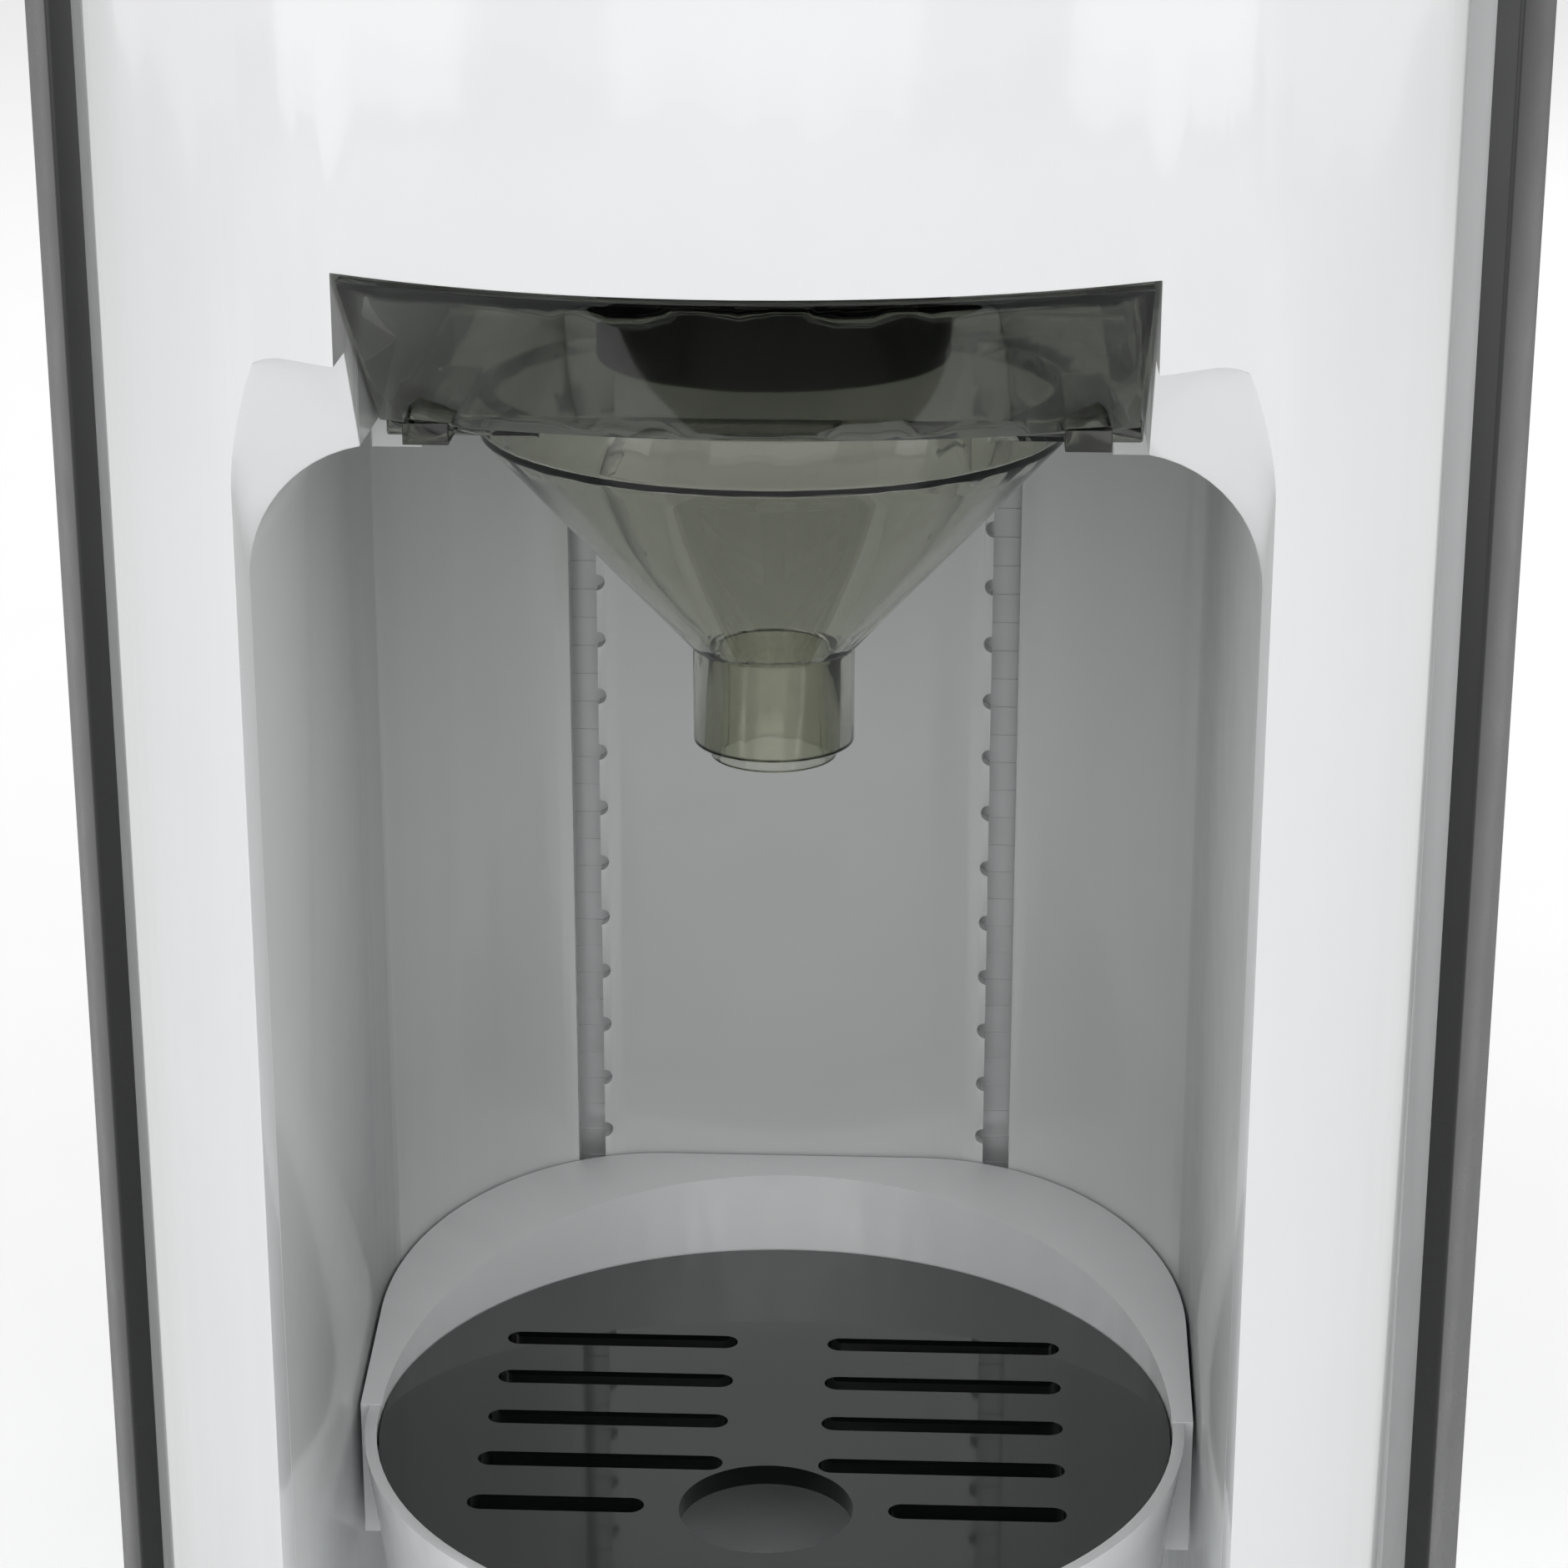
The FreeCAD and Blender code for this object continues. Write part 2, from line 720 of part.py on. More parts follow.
def make_niche_liner():
    inner_front = front_plan(shell_wall, flank_end_y, floor_z, deck_low_z)
    keep = box(-half_width, half_width, bay_front_y, 0, floor_z, deck_low_z)
    hollow = bay_volume(0)
    liner = bay_volume(bay_wall).common(keep)
    pocket_wall = box(-pocket_half_width - 2, pocket_half_width + 2, bay_front_y, pocket_back_y + 2,
                      bay_top_z - 1, pocket_top_z + 2)
    liner = join([liner, pocket_wall]).cut(hollow)
    liner = liner.cut(box(-pocket_half_width, pocket_half_width, bay_front_y - 1, pocket_back_y,
                          bay_top_z - 30, pocket_top_z))
    liner = liner.cut(box(-half_width, half_width, front_y, flank_end_y, floor_z, deck_low_z).cut(inner_front))
    wall_y0 = bay_back_y - 6
    wall_y1 = bay_back_y + bay_wall + 1
    for side in (-1, 1):
        x = side * groove_x
        liner = liner.cut(box(x - groove_width / 2, x + groove_width / 2, wall_y0, wall_y1,
                              groove_low_z, groove_top_z))
        liner = liner.cut(box(x - groove_gate_width / 2, x + groove_gate_width / 2, wall_y0, wall_y1,
                              groove_top_z - groove_gate_height, groove_top_z))
        notches = int((groove_top_z - groove_gate_height - plate_top_z) / detent_pitch)
        for notch in range(notches):
            z = plate_top_z + notch * detent_pitch
            liner = liner.cut(Part.makeCylinder(detent_radius, wall_y1 - wall_y0,
                                                V(x - side * groove_width / 2, wall_y0, z), V(0, 1, 0)))
    liner = liner.cut(chute_solid(0.4))
    liner = liner.cut(rod(spout_radius + 0.1, 0, spout_y, bay_top_z - 5, pocket_top_z + 5))
    return liner


def make_funnel_rails():
    web_x = funnel_plate_half_width + slide_gap
    shelf_z = funnel_plate_z - slide_gap
    rail_back_y = bay_axis_y + funnel_plate_back + 1
    rail_front_y = bay_front_y + rail_setback
    low_z = shelf_z - rail_shelf_thickness
    rail = join([
        box(web_x, web_x + rail_web, rail_front_y, rail_back_y, low_z, bay_top_z),
        box(web_x - rail_shelf, web_x + rail_web, rail_front_y, rail_back_y, low_z, shelf_z),
    ]).common(bay_volume(0))
    return Part.makeCompound([rail, mirrored(rail)])


def make_trim(side):
    strip = trim_section(floor_z, deck_low_z)
    return strip if side > 0 else mirrored(strip)


def make_rear_housing():
    outer = box(-housing_x, housing_x, trim_end_y, bulkhead_y, floor_z, deck_low_z)
    inner = box(-housing_x + shell_wall, housing_x - shell_wall, trim_end_y - 1, bulkhead_y - shell_wall,
                floor_z - 1, deck_low_z + 1)
    bosses = []
    for x, y in base_screw_places:
        if y > flank_end_y:
            far = math.copysign(housing_x - 1, x)
            bosses.append(screw_boss(x, y, floor_z, floor_z + screw_length))
            bosses.append(boss_rib_to(x, far, y, floor_z, floor_z + screw_length))
    for x, y in deck_screw_places:
        far = math.copysign(housing_x - 1, x)
        low = deck_low_z - screw_length - 4
        bosses.append(screw_boss(x, y, low, deck_low_z))
        bosses.append(boss_rib_to(x, far, y, low, deck_low_z))
    housing = join([outer.cut(inner)] + bosses)
    for x, y in base_screw_places:
        housing = housing.cut(screw_hole(x, y, floor_z, screw_length))
    for x, y in deck_screw_places:
        housing = housing.cut(rod(screw_radius + screw_clear, x, y, deck_low_z - screw_length, deck_low_z + 1))
    hose_hole = Part.makeCylinder(hose_radius + 1.5, 3 * shell_wall, V(0, bulkhead_y + 1, cup_hose_z),
                                  V(0, -1, 0))
    housing = housing.cut(hose_hole)
    for z in vent_levels:
        for side in (-1, 1):
            x = side * housing_x
            ends = sorted((x + side, x - side * (2 * shell_wall + 1)))
            housing = housing.cut(box(ends[0], ends[1], trim_end_y + vent_front_inset,
                                      bulkhead_y - vent_rear_inset, z - vent_width / 2, z + vent_width / 2))
    return housing


def make_top_deck():
    slab = whole_plan(bulkhead_y, deck_low_z, deck_top_z)
    slab = slab.cut(box(-half_width, half_width, front_y - 5, panel_back_y, deck_low_z - 1, deck_top_z + 1))
    dock_radius = container_radius + dock_gap
    dock = rod(dock_radius + dock_wall, 0, container_y, dock_floor_z, deck_top_z)
    dock = dock.cut(box(-half_width, half_width, front_y, panel_back_y + 0.2, dock_floor_z - 1, deck_top_z + 1))
    deck = join([slab, dock])
    deck = deck.cut(rod(dock_radius, 0, container_y, dock_floor_z + dock_wall, deck_top_z + 1))
    deck = deck.cut(rod(shaft_radius + 1, 0, container_y, dock_floor_z - 1, deck_top_z))
    deck = deck.cut(rod(outlet_radius + 1, 0, container_y - outlet_offset, dock_floor_z - 1, deck_top_z))
    for x, y in deck_screw_places:
        deck = deck.cut(rod(screw_radius + screw_clear, x, y, deck_low_z - 1, deck_top_z + 1))
        deck = deck.cut(rod(screw_head_radius + screw_clear, x, y,
                            deck_top_z - screw_head_height, deck_top_z + 1))
    return deck


# Control panel
buttons = {
    "start_button": (0.0, -15.0, 8.5),
    "power_button": (-25.0, -13.0, 5.5),
    "temperature_button": (25.0, -13.0, 5.5),
    "volume_up_button": (37.0, 17.0, 5.0),
    "volume_down_button": (37.0, 3.0, 5.0),
    "powder_button": (-37.0, 10.0, 5.0),
}
board_posts = [(-46.0, 20.0), (46.0, 10.0), (-14.0, -18.0), (14.0, -18.0)]


def make_control_panel():
    slab = front_plan(0, panel_back_y, floor_z, deck_top_z + 10)
    slab = slab.common(above_roof(panel_thickness)).cut(above_roof(0))
    slab = slab.cut(box(-half_width, half_width, panel_back_y, back_y, floor_z, deck_top_z + 20))
    posts = [Part.makeCylinder(board_post_radius, board_depth - panel_thickness + 1, V(u, v, -board_depth))
             for u, v in board_posts]
    panel = join([slab] + [on_panel(post) for post in posts])
    through_x = window_half_width - window_ledge
    through_y = window_half_height - window_ledge
    cuts = [
        box(-window_half_width, window_half_width, window_v - window_half_height, window_v + window_half_height,
            -window_thickness, 2),
        box(-through_x, through_x, window_v - through_y, window_v + through_y, -panel_thickness - 1, 2),
    ]
    for u, v, radius in buttons.values():
        cuts.append(Part.makeCylinder(radius + button_gap, panel_thickness + 4, V(u, v, -panel_thickness - 2)))
    for cut in cuts:
        panel = panel.cut(on_panel(cut))
    for u, v in board_posts:
        screw_bore = Part.makeCylinder(screw_radius + screw_clear, 5.0, V(u, v, -board_depth - 1))
        panel = panel.cut(on_panel(screw_bore))
    return panel


def make_display_window():
    return on_panel(box(-window_half_width + 0.1, window_half_width - 0.1,
                        window_v - window_half_height + 0.1, window_v + window_half_height - 0.1,
                        -window_thickness, 0))


def make_display_module():
    return on_panel(box(-window_half_width, window_half_width, window_v - window_half_height,
                        window_v + window_half_height, -board_depth, -panel_thickness - 0.05))


def make_control_board():
    board = on_panel(box(-board_half_width, board_half_width, -board_half_height, board_half_height,
                         -board_depth - board_thickness, -board_depth))
    board = board.common(front_plan(shell_wall + 2, panel_back_y - 2, floor_z, deck_top_z))
    for u, v in board_posts:
        board = board.cut(on_panel(Part.makeCylinder(screw_radius + screw_clear, 6, V(u, v, -board_depth - 4))))
    return board


def make_control_board_screws():
    made = []
    for u, v in board_posts:
        made.append(on_panel(screw(u, v, -board_depth - board_thickness, 1, board_screw_length)))
    return Part.makeCompound(made)


def make_button(name):
    u, v, radius = buttons[name]
    cap = Part.makeCylinder(radius, button_depth + button_proud, V(u, v, -button_depth))
    crown = Part.makeSphere(4 * radius, V(u, v, button_proud - 4 * radius))
    cap = cap.common(crown)
    flange = Part.makeCylinder(radius + button_flange, button_flange_thickness,
                               V(u, v, -panel_thickness - button_gap - button_flange_thickness))
    return on_panel(join([cap, flange]))


# Stand and drip plate
def stand_plane(y):
    return plate_top_z + (y - bay_axis_y) * math.tan(math.radians(saddle_slope_deg))


def make_bottle_stand():
    outer_top = plate_radius + plate_gap + rim_width
    outer_low = outer_top - stand_taper
    rim_z = plate_top_z + rim_rise
    bowl = turned_profile([
        (0, stand_low_z), (outer_low, stand_low_z), (outer_top, rim_z), (0, rim_z)], 0, bay_axis_y)
    saddle = bay_plan(-saddle_gap, stand_low_z, plate_top_z + 40)
    saddle = saddle.cut(box(-half_width, half_width, front_y - 20, bay_axis_y + 0.6, 0, deck_top_z))
    back = bay_back_y + 1
    high = polygon_prism([
        V(-half_width, bay_axis_y, rim_z), V(-half_width, back, stand_plane(back)),
        V(-half_width, back, plate_top_z + 60), V(-half_width, bay_axis_y, plate_top_z + 60),
    ], V(2 * half_width, 0, 0))
    saddle = saddle.cut(high)
    recess_radius = plate_radius + plate_gap
    ledge_z = plate_top_z - plate_thickness - seat_gap
    cup_radius = recess_radius - ledge_width
    relief = rod(cup_radius + 1, 0, bay_axis_y, stand_low_z + stand_wall, ledge_z - 2)
    stand = join([bowl, saddle])
    stand = stand.cut(rod(recess_radius, 0, bay_axis_y, ledge_z, deck_top_z))
    stand = stand.cut(rod(cup_radius - 1, 0, bay_axis_y, stand_low_z + stand_wall, deck_top_z))
    stand = stand.cut(relief)
    inside = bay_plan(-saddle_gap - stand_wall, stand_low_z + 4, plate_top_z)
    hollow = inside.cut(rod(recess_radius + stand_wall, 0, bay_axis_y, 0, deck_top_z))
    hollow = hollow.common(box(-half_width, half_width, bay_axis_y + 22, back,
                               stand_low_z - 1, plate_top_z - 3))
    stand = stand.cut(hollow)
    wall_back = bay_back_y + bay_wall + hook_gap
    hooks = []
    for side in (-1, 1):
        x = side * groove_x
        z0 = stand_low_z + 3
        neck = groove_width / 2 - hook_gap
        hooks.append(box(x - neck, x + neck, bay_back_y - 6, wall_back + 0.1, z0, z0 + hook_height))
        hooks.append(box(x - hook_width / 2, x + hook_width / 2, wall_back, wall_back + hook_thickness,
                         z0, z0 + hook_height))
    return join([stand] + hooks)


def make_drip_plate():
    plate = rod(plate_radius, 0, bay_axis_y, plate_top_z - plate_thickness, plate_top_z)
    low = plate_top_z - plate_thickness - 1
    high = plate_top_z + 1
    for row in range(slot_rows):
        offset = (row - (slot_rows - 1) / 2) * slot_pitch
        y = bay_axis_y + offset
        inner = slot_inner_front if row == 0 else slot_inner
        for side in (-1, 1):
            ends = sorted((side * (inner + slot_width / 2), side * (slot_reach - slot_width / 2)))
            plate = plate.cut(box(ends[0], ends[1], y - slot_width / 2, y + slot_width / 2, low, high))
            for x in ends:
                plate = plate.cut(rod(slot_width / 2, x, y, low, high))
    return plate.cut(rod(finger_radius, 0, bay_axis_y - finger_offset, low, high))


# Funnel, its nozzle and cover
def make_funnel():
    plate_top = funnel_plate_z + funnel_plate_thickness
    shell = turned_profile([
        (funnel_neck_radius - funnel_wall, funnel_sleeve_z),
        (funnel_neck_radius, funnel_sleeve_z),
        (funnel_neck_radius, funnel_neck_z),
        (funnel_shoulder_radius, funnel_shoulder_z),
        (funnel_radius, funnel_rim_z),
        (funnel_radius, plate_top),
        (funnel_radius - funnel_wall, plate_top),
        (funnel_radius - funnel_wall, funnel_rim_z + 0.6),
        (funnel_shoulder_radius - funnel_wall, funnel_shoulder_z + 0.8),
        (funnel_neck_radius - funnel_wall, funnel_neck_z + 0.8),
    ], 0, bay_axis_y)
    plate = box(-funnel_plate_half_width, funnel_plate_half_width, bay_axis_y - funnel_plate_front,
                bay_axis_y + funnel_plate_back, funnel_plate_z, plate_top)
    plate = plate.cut(rod(funnel_radius - 0.5, 0, bay_axis_y, funnel_plate_z - 1, plate_top + 1))
    return join([shell, plate])


def make_funnel_nozzle():
    outer = funnel_neck_radius - funnel_wall - 0.02
    flange_z = funnel_neck_z + 0.8
    return turned_profile([
        (nozzle_radius - nozzle_wall, nozzle_low_z),
        (nozzle_radius - 0.1, nozzle_low_z),
        (outer, nozzle_low_z + 2.0),
        (outer, flange_z),
        (outer - nozzle_wall, flange_z),
    ], 0, bay_axis_y)


def cover_section(half, z, middle_y, bow, wall):
    """Closed curved strip in plan: bowed front edge, straight ends and bowed back edge."""
    return closed_wire(V(-half, middle_y + bow, z), [
        (V(0, middle_y, z), V(half, middle_y + bow, z)),
        V(half, middle_y + bow + wall, z),
        (V(0, middle_y + wall, z), V(-half, middle_y + bow + wall, z)),
    ])


def make_funnel_cover():
    screen = Part.makeLoft([
        cover_section(cover_half_width, cover_low_z, cover_low_y, cover_low_bow, cover_wall),
        cover_section(cover_half_width, cover_top_z, cover_top_y, cover_top_bow, cover_wall),
    ], True, True)
    arm_z = funnel_plate_z + funnel_plate_thickness + seat_gap
    arm_y = cover_low_y + cover_low_bow - 4
    arms = []
    for side in (-1, 1):
        x = side * (cover_half_width - cover_arm_inset)
        ends = sorted((x, x - side * cover_arm_width))
        arms.append(box(ends[0], ends[1], arm_y, arm_y + cover_arm_length, arm_z, cover_low_z + 0.6))
    sill = box(-cover_half_width + cover_arm_inset, cover_half_width - cover_arm_inset,
               cover_sill_y, cover_sill_y + cover_sill_depth, arm_z, arm_z + cover_sill_height)
    return join([screen, sill] + arms)


def make_funnel_sensor():
    x = pocket_half_width + 2
    return box(x, x + 4, bay_axis_y - 12, bay_axis_y + 12, bay_top_z + bay_wall + 2, bay_top_z + bay_wall + 10)


# Powder outlet and water spout
def chute_solid(grow):
    """Outside of the powder chute, grown by grow."""
    top = Part.Wire([Part.Circle(V(0, container_y - outlet_offset, dock_floor_z), UP,
                                 chute_top_radius + grow).toShape()])
    ring = Part.Wire([Part.Circle(V(0, bay_axis_y, chute_ring_z), UP, chute_ring_radius + grow).toShape()])
    cone = Part.makeLoft([ring, top], True, True)
    return join([cone, rod(chute_ring_radius + grow, 0, bay_axis_y, chute_low_z, chute_ring_z)])


def make_powder_chute():
    bore = chute_solid(-chute_wall)
    deeper = rod(chute_ring_radius - chute_wall, 0, bay_axis_y, chute_low_z - 1, chute_low_z + 1)
    return chute_solid(0).cut(bore).cut(deeper)


def make_water_spout():
    y = spout_y
    body = rod(spout_radius, 0, y, chute_low_z, spout_elbow_z + hose_bore)
    collar = rod(spout_radius + 2, 0, y, pocket_top_z + 2, pocket_top_z + 3.2)
    nipple = cross_rod(hose_bore - 0.05, y, spout_elbow_z, 0, spout_radius + spout_nipple)
    spout = join([body, collar, nipple]).cut(rod(spout_bore, 0, y, chute_low_z - 1, spout_elbow_z))
    return spout.cut(cross_rod(1.3, y, spout_elbow_z, 0, spout_radius + spout_nipple + 1))


# Powder container
def make_powder_container():
    inner = container_radius - container_wall
    body = rod(container_radius, 0, container_y, container_floor_z, container_top_z)
    ears = []
    for side in (-1, 1):
        x = side * (container_knuckle_half + knuckle_gap)
        ends = sorted((x, x + side * ear_thickness))
        ears.append(box(ends[0], ends[1], container_y + inner, lid_pin_y + knuckle_radius,
                        container_top_z - ear_depth, container_top_z))
        ears.append(box(ends[0], ends[1], lid_pin_y - knuckle_radius, lid_pin_y + knuckle_radius,
                        container_top_z - 1, lid_pin_z))
        ears.append(cross_rod(knuckle_radius, lid_pin_y, lid_pin_z, ends[0], ends[1]))
    body = join([body] + ears)
    body = body.cut(rod(inner, 0, container_y, container_floor_z + container_floor, container_top_z + 20))
    body = body.cut(rod(shaft_radius + 1, 0, container_y, container_floor_z - 1, container_top_z))
    body = body.cut(rod(outlet_radius, 0, container_y - outlet_offset, container_floor_z - 1, container_top_z))
    return body.cut(cross_rod(pin_radius + pin_fit, lid_pin_y, lid_pin_z, -container_radius, container_radius))


def make_container_lid():
    low = container_top_z + running_gap
    top = low + lid_thickness
    radius = container_radius
    crown = turned_profile([
        (0, low), (radius, low), (radius, low + lid_thickness / 2), (radius - lid_thickness, top),
        (1.5 * lid_grip_radius, top + lid_crown), (0, top + lid_crown)], 0, container_y)
    skirt_outer = container_radius - container_wall - lid_skirt_gap
    skirt = tube(skirt_outer, skirt_outer - lid_skirt_wall, 0, container_y, low - lid_skirt, low + 1)
    grip = turned_profile([
        (0, top), (lid_grip_radius, top), (lid_grip_radius - 2, top + lid_grip_height),
        (0, top + lid_grip_height)], 0, container_y)
    knuckle = cross_rod(knuckle_radius, lid_pin_y, lid_pin_z, -container_knuckle_half, container_knuckle_half)
    arm = box(-container_knuckle_half, container_knuckle_half, container_y + container_radius - 6, lid_pin_y,
              low, low + 3)
    lid = join([crown, skirt, grip, knuckle, arm])
    for side in (-1, 1):
        far = container_knuckle_half + 2 * knuckle_gap + ear_thickness
        ends = sorted((side * container_knuckle_half, side * far))
        lid = lid.cut(box(ends[0], ends[1], container_y + container_radius - container_wall - knuckle_gap,
                          lid_pin_y + 2 * knuckle_radius, low - 1, top + 5))
    bore = cross_rod(pin_radius + shaft_running, lid_pin_y, lid_pin_z, -container_radius, container_radius)
    return lid.cut(bore)


def make_container_lid_pin():
    half = container_knuckle_half + knuckle_gap + ear_thickness
    return cross_rod(pin_radius, lid_pin_y, lid_pin_z, -half, half)


def make_dosing_wheel():
    top = dose_z + dose_height
    wheel = rod(dose_radius, 0, container_y, dose_z, top)
    for pocket in range(dose_pockets):
        angle = 2 * math.pi * pocket / dose_pockets + math.pi / 2
        wheel = wheel.cut(rod(dose_pocket_radius, outlet_offset * math.cos(angle),
                              container_y + outlet_offset * math.sin(angle), dose_z - 1, top + 1))
    return wheel.cut(hexagon(hex_flat + 2 * hex_gap, 0, container_y, dose_z - 1, top + 1))


def make_stir_wheel():
    blade_z = stir_z
    hub_low = dose_z + dose_height
    hub = rod(hub_radius, 0, container_y, hub_low, stir_fin_top_z + hub_rise)
    arms = []
    for blade in range(stir_blades):
        angle = 360.0 / stir_blades * blade
        arm = box(0, stir_radius, -stir_blade_width / 2, stir_blade_width / 2,
                  blade_z, blade_z + stir_blade_height)
        fin_end = stir_radius - 2
        fin = box(fin_end - stir_fin_length, fin_end, -stir_fin_thickness / 2, stir_fin_thickness / 2,
                  blade_z + 1, stir_fin_top_z)
        piece = join([arm, fin])
        piece.rotate(V(0, 0, 0), UP, angle + 45)
        piece.translate(V(0, container_y, 0))
        arms.append(piece)
    wheel = join([hub] + arms)
    return wheel.cut(hexagon(hex_flat + 2 * hex_gap, 0, container_y, hub_low - 1, shaft_top_z + 0.5))


def make_scraper_plate():
    z = dose_z + dose_height + running_gap
    outer = container_radius - container_wall - 0.05
    ring = tube(outer, scraper_inner, 0, container_y, z, z + scraper_thickness)
    return ring.common(box(-scraper_half_width, scraper_half_width, container_y - container_radius,
                           container_y, z, z + scraper_thickness))


def make_drive_shaft():
    hex_low = dock_floor_z + dock_wall + 0.4
    round_part = rod(shaft_radius, 0, container_y, bracket_z - 3, hex_low)
    return join([round_part, hexagon(hex_flat, 0, container_y, hex_low - 1, shaft_top_z)])


def make_drive_gear():
    disc = gear(gear_teeth, 0, container_y, gear_low_z, gear_low_z + gear_thickness,
                shaft_radius + pin_fit, 90.0)
    for hole in range(gear_holes):
        angle = 2 * math.pi * hole / gear_holes
        disc = disc.cut(rod(gear_hole_radius, gear_hole_offset * math.cos(angle),
                            container_y + gear_hole_offset * math.sin(angle), gear_low_z - 1,
                            gear_low_z + gear_thickness + 1))
    return disc


def make_motor_pinion():
    half_step = 180.0 / pinion_teeth
    return gear(pinion_teeth, 0, pinion_y, gear_low_z, gear_low_z + gear_thickness,
                motor_shaft_radius + pin_fit, -90.0 + half_step)


def make_motor_shaft():
    return rod(motor_shaft_radius, 0, pinion_y, bracket_z - 1, gear_low_z + gear_thickness + 1)


def make_shaft_bush():
    low = bracket_z - bush_flange
    body = join([
        rod(bush_radius - 2, 0, container_y, low, bracket_z + bracket_thickness),
        rod(bush_radius, 0, container_y, low, bracket_z),
    ])
    return body.cut(rod(shaft_radius + shaft_running, 0, container_y,
                        low - 1, bracket_z + bracket_thickness + 1))


def make_motor_bracket():
    top = bracket_z + bracket_thickness
    plate = box(-bracket_half_width, bracket_half_width, bracket_front_y, bracket_rear_y, bracket_z, top)
    posts = [rod(bracket_post_radius, x, y, bracket_z, dock_floor_z) for x, y in bracket_posts]
    bracket = join([plate] + posts)
    bracket = bracket.cut(rod(bush_radius - 2 + pin_fit, 0, container_y, bracket_z - 1, top + 1))
    bracket = bracket.cut(rod(motor_shaft_radius + 2, 0, pinion_y, bracket_z - 1, top + 1))
    for x, y in motor_screw_places:
        bracket = bracket.cut(rod(screw_radius + screw_clear, x, y, bracket_z - 1, top + 1))
    return bracket


def make_gear_motor():
    low = bracket_z - motor_length
    body = turned_profile([
        (0, low), (motor_radius - 3, low), (motor_radius, low + 3), (motor_radius, bracket_z - 14),
        (motor_radius - 1, bracket_z - 14), (motor_radius - 1, bracket_z), (0, bracket_z)], 0, pinion_y)
    body = body.cut(rod(motor_shaft_radius + shaft_running, 0, pinion_y, bracket_z - 2, bracket_z + 1))
    for x, y in motor_screw_places:
        body = body.cut(rod(screw_radius + screw_clear, x, y, bracket_z - 7, bracket_z + 1))
    return body


def make_motor_screws():
    top = bracket_z + bracket_thickness
    return Part.makeCompound([screw(x, y, top, -1, motor_screw_length) for x, y in motor_screw_places])


# Water tank, its lid and valve
def tank_block(inset, z0, z1):
    return rear_plan(tank_half_width - inset, tank_y + inset, back_y - inset, tank_corner - inset, z0, z1)


def make_water_tank():
    body = tank_block(0, tank_floor_z, tank_top_z)
    body = body.cut(tank_block(tank_wall, tank_floor_z + tank_wall, tank_top_z + 1))
    neck = rod(neck_radius, 0, neck_y, neck_low_z, tank_floor_z + tank_wall)
    ears = []
    for side in (-1, 1):
        x = side * (tank_knuckle_half + knuckle_gap)
        ends = sorted((x, x + side * ear_thickness))
        ears.append(box(ends[0], ends[1], tank_y, tank_pin_y, tank_top_z - 8, tank_pin_z))
        ears.append(cross_rod(knuckle_radius, tank_pin_y, tank_pin_z, ends[0], ends[1]))
    body = join([body, neck] + ears)
    bore = neck_radius - neck_wall
    body = body.cut(rod(bore, 0, neck_y, neck_low_z + neck_floor, tank_floor_z + tank_wall + 1))
    body = body.cut(rod(neck_hole_radius, 0, neck_y, neck_low_z - 1, tank_floor_z))
    bridge_z = plunger_z + plunger_head + spring_height
    bridge = box(-bore - 2, bore + 2, neck_y - bridge_width / 2, neck_y + bridge_width / 2,
                 bridge_z, bridge_z + bridge_height)
    legs = [box(min(x0, x1), max(x0, x1), neck_y - bridge_width / 2, neck_y + bridge_width / 2,
                tank_floor_z + tank_wall - 0.5, bridge_z + bridge_height)
            for x0, x1 in ((-bore - 2, -bore - 0.2), (bore + 0.2, bore + 2))]
    body = join([body, bridge] + legs)
    return body.cut(cross_rod(pin_radius + pin_fit, tank_pin_y, tank_pin_z, -tank_half_width, tank_half_width))


def make_tank_lid():
    low = tank_top_z + running_gap
    top = low + tank_lid_thickness
    slab = tank_block(0, low, top).cut(box(-half_width, half_width, tank_y - 1, tank_pin_y, low - 1, top + 1))
    plug = tank_block(tank_wall + 0.8, low - 3, low + 1)
    plug = plug.cut(tank_block(tank_wall + 3, low - 4, low))
    plug = plug.cut(box(-half_width, half_width, tank_y - 1, tank_pin_y + 8, low - 5, low))
    reach = tank_knuckle_half + ear_thickness + 2 * knuckle_gap
    slab = join([slab, plug])
    slab = slab.cut(box(-reach, reach, tank_y, tank_pin_y + knuckle_radius + knuckle_gap, low - 1, top + 1))
    knuckle = cross_rod(knuckle_radius, tank_pin_y, tank_pin_z, -tank_knuckle_half, tank_knuckle_half)
    arm = box(-tank_knuckle_half, tank_knuckle_half, tank_pin_y, tank_pin_y + knuckle_radius + 2,
              low + 0.6, top)
    tab = box(-12, 12, back_y - 10, back_y - 4, top - 1, top + 2)
    lid = join([slab, knuckle, arm, tab])
    return lid.cut(cross_rod(pin_radius + shaft_running, tank_pin_y, tank_pin_z,
                             -tank_half_width, tank_half_width))


def make_tank_lid_pin():
    half = tank_knuckle_half + knuckle_gap + ear_thickness
    return cross_rod(pin_radius, tank_pin_y, tank_pin_z, -half, half)


def make_valve_plunger():
    z = plunger_z
    stem_low = neck_low_z - 0.2
    return join([
        rod(plunger_radius, 0, neck_y, z, z + plunger_head),
        rod(plunger_stem_radius, 0, neck_y, stem_low, z + 0.5),
    ])


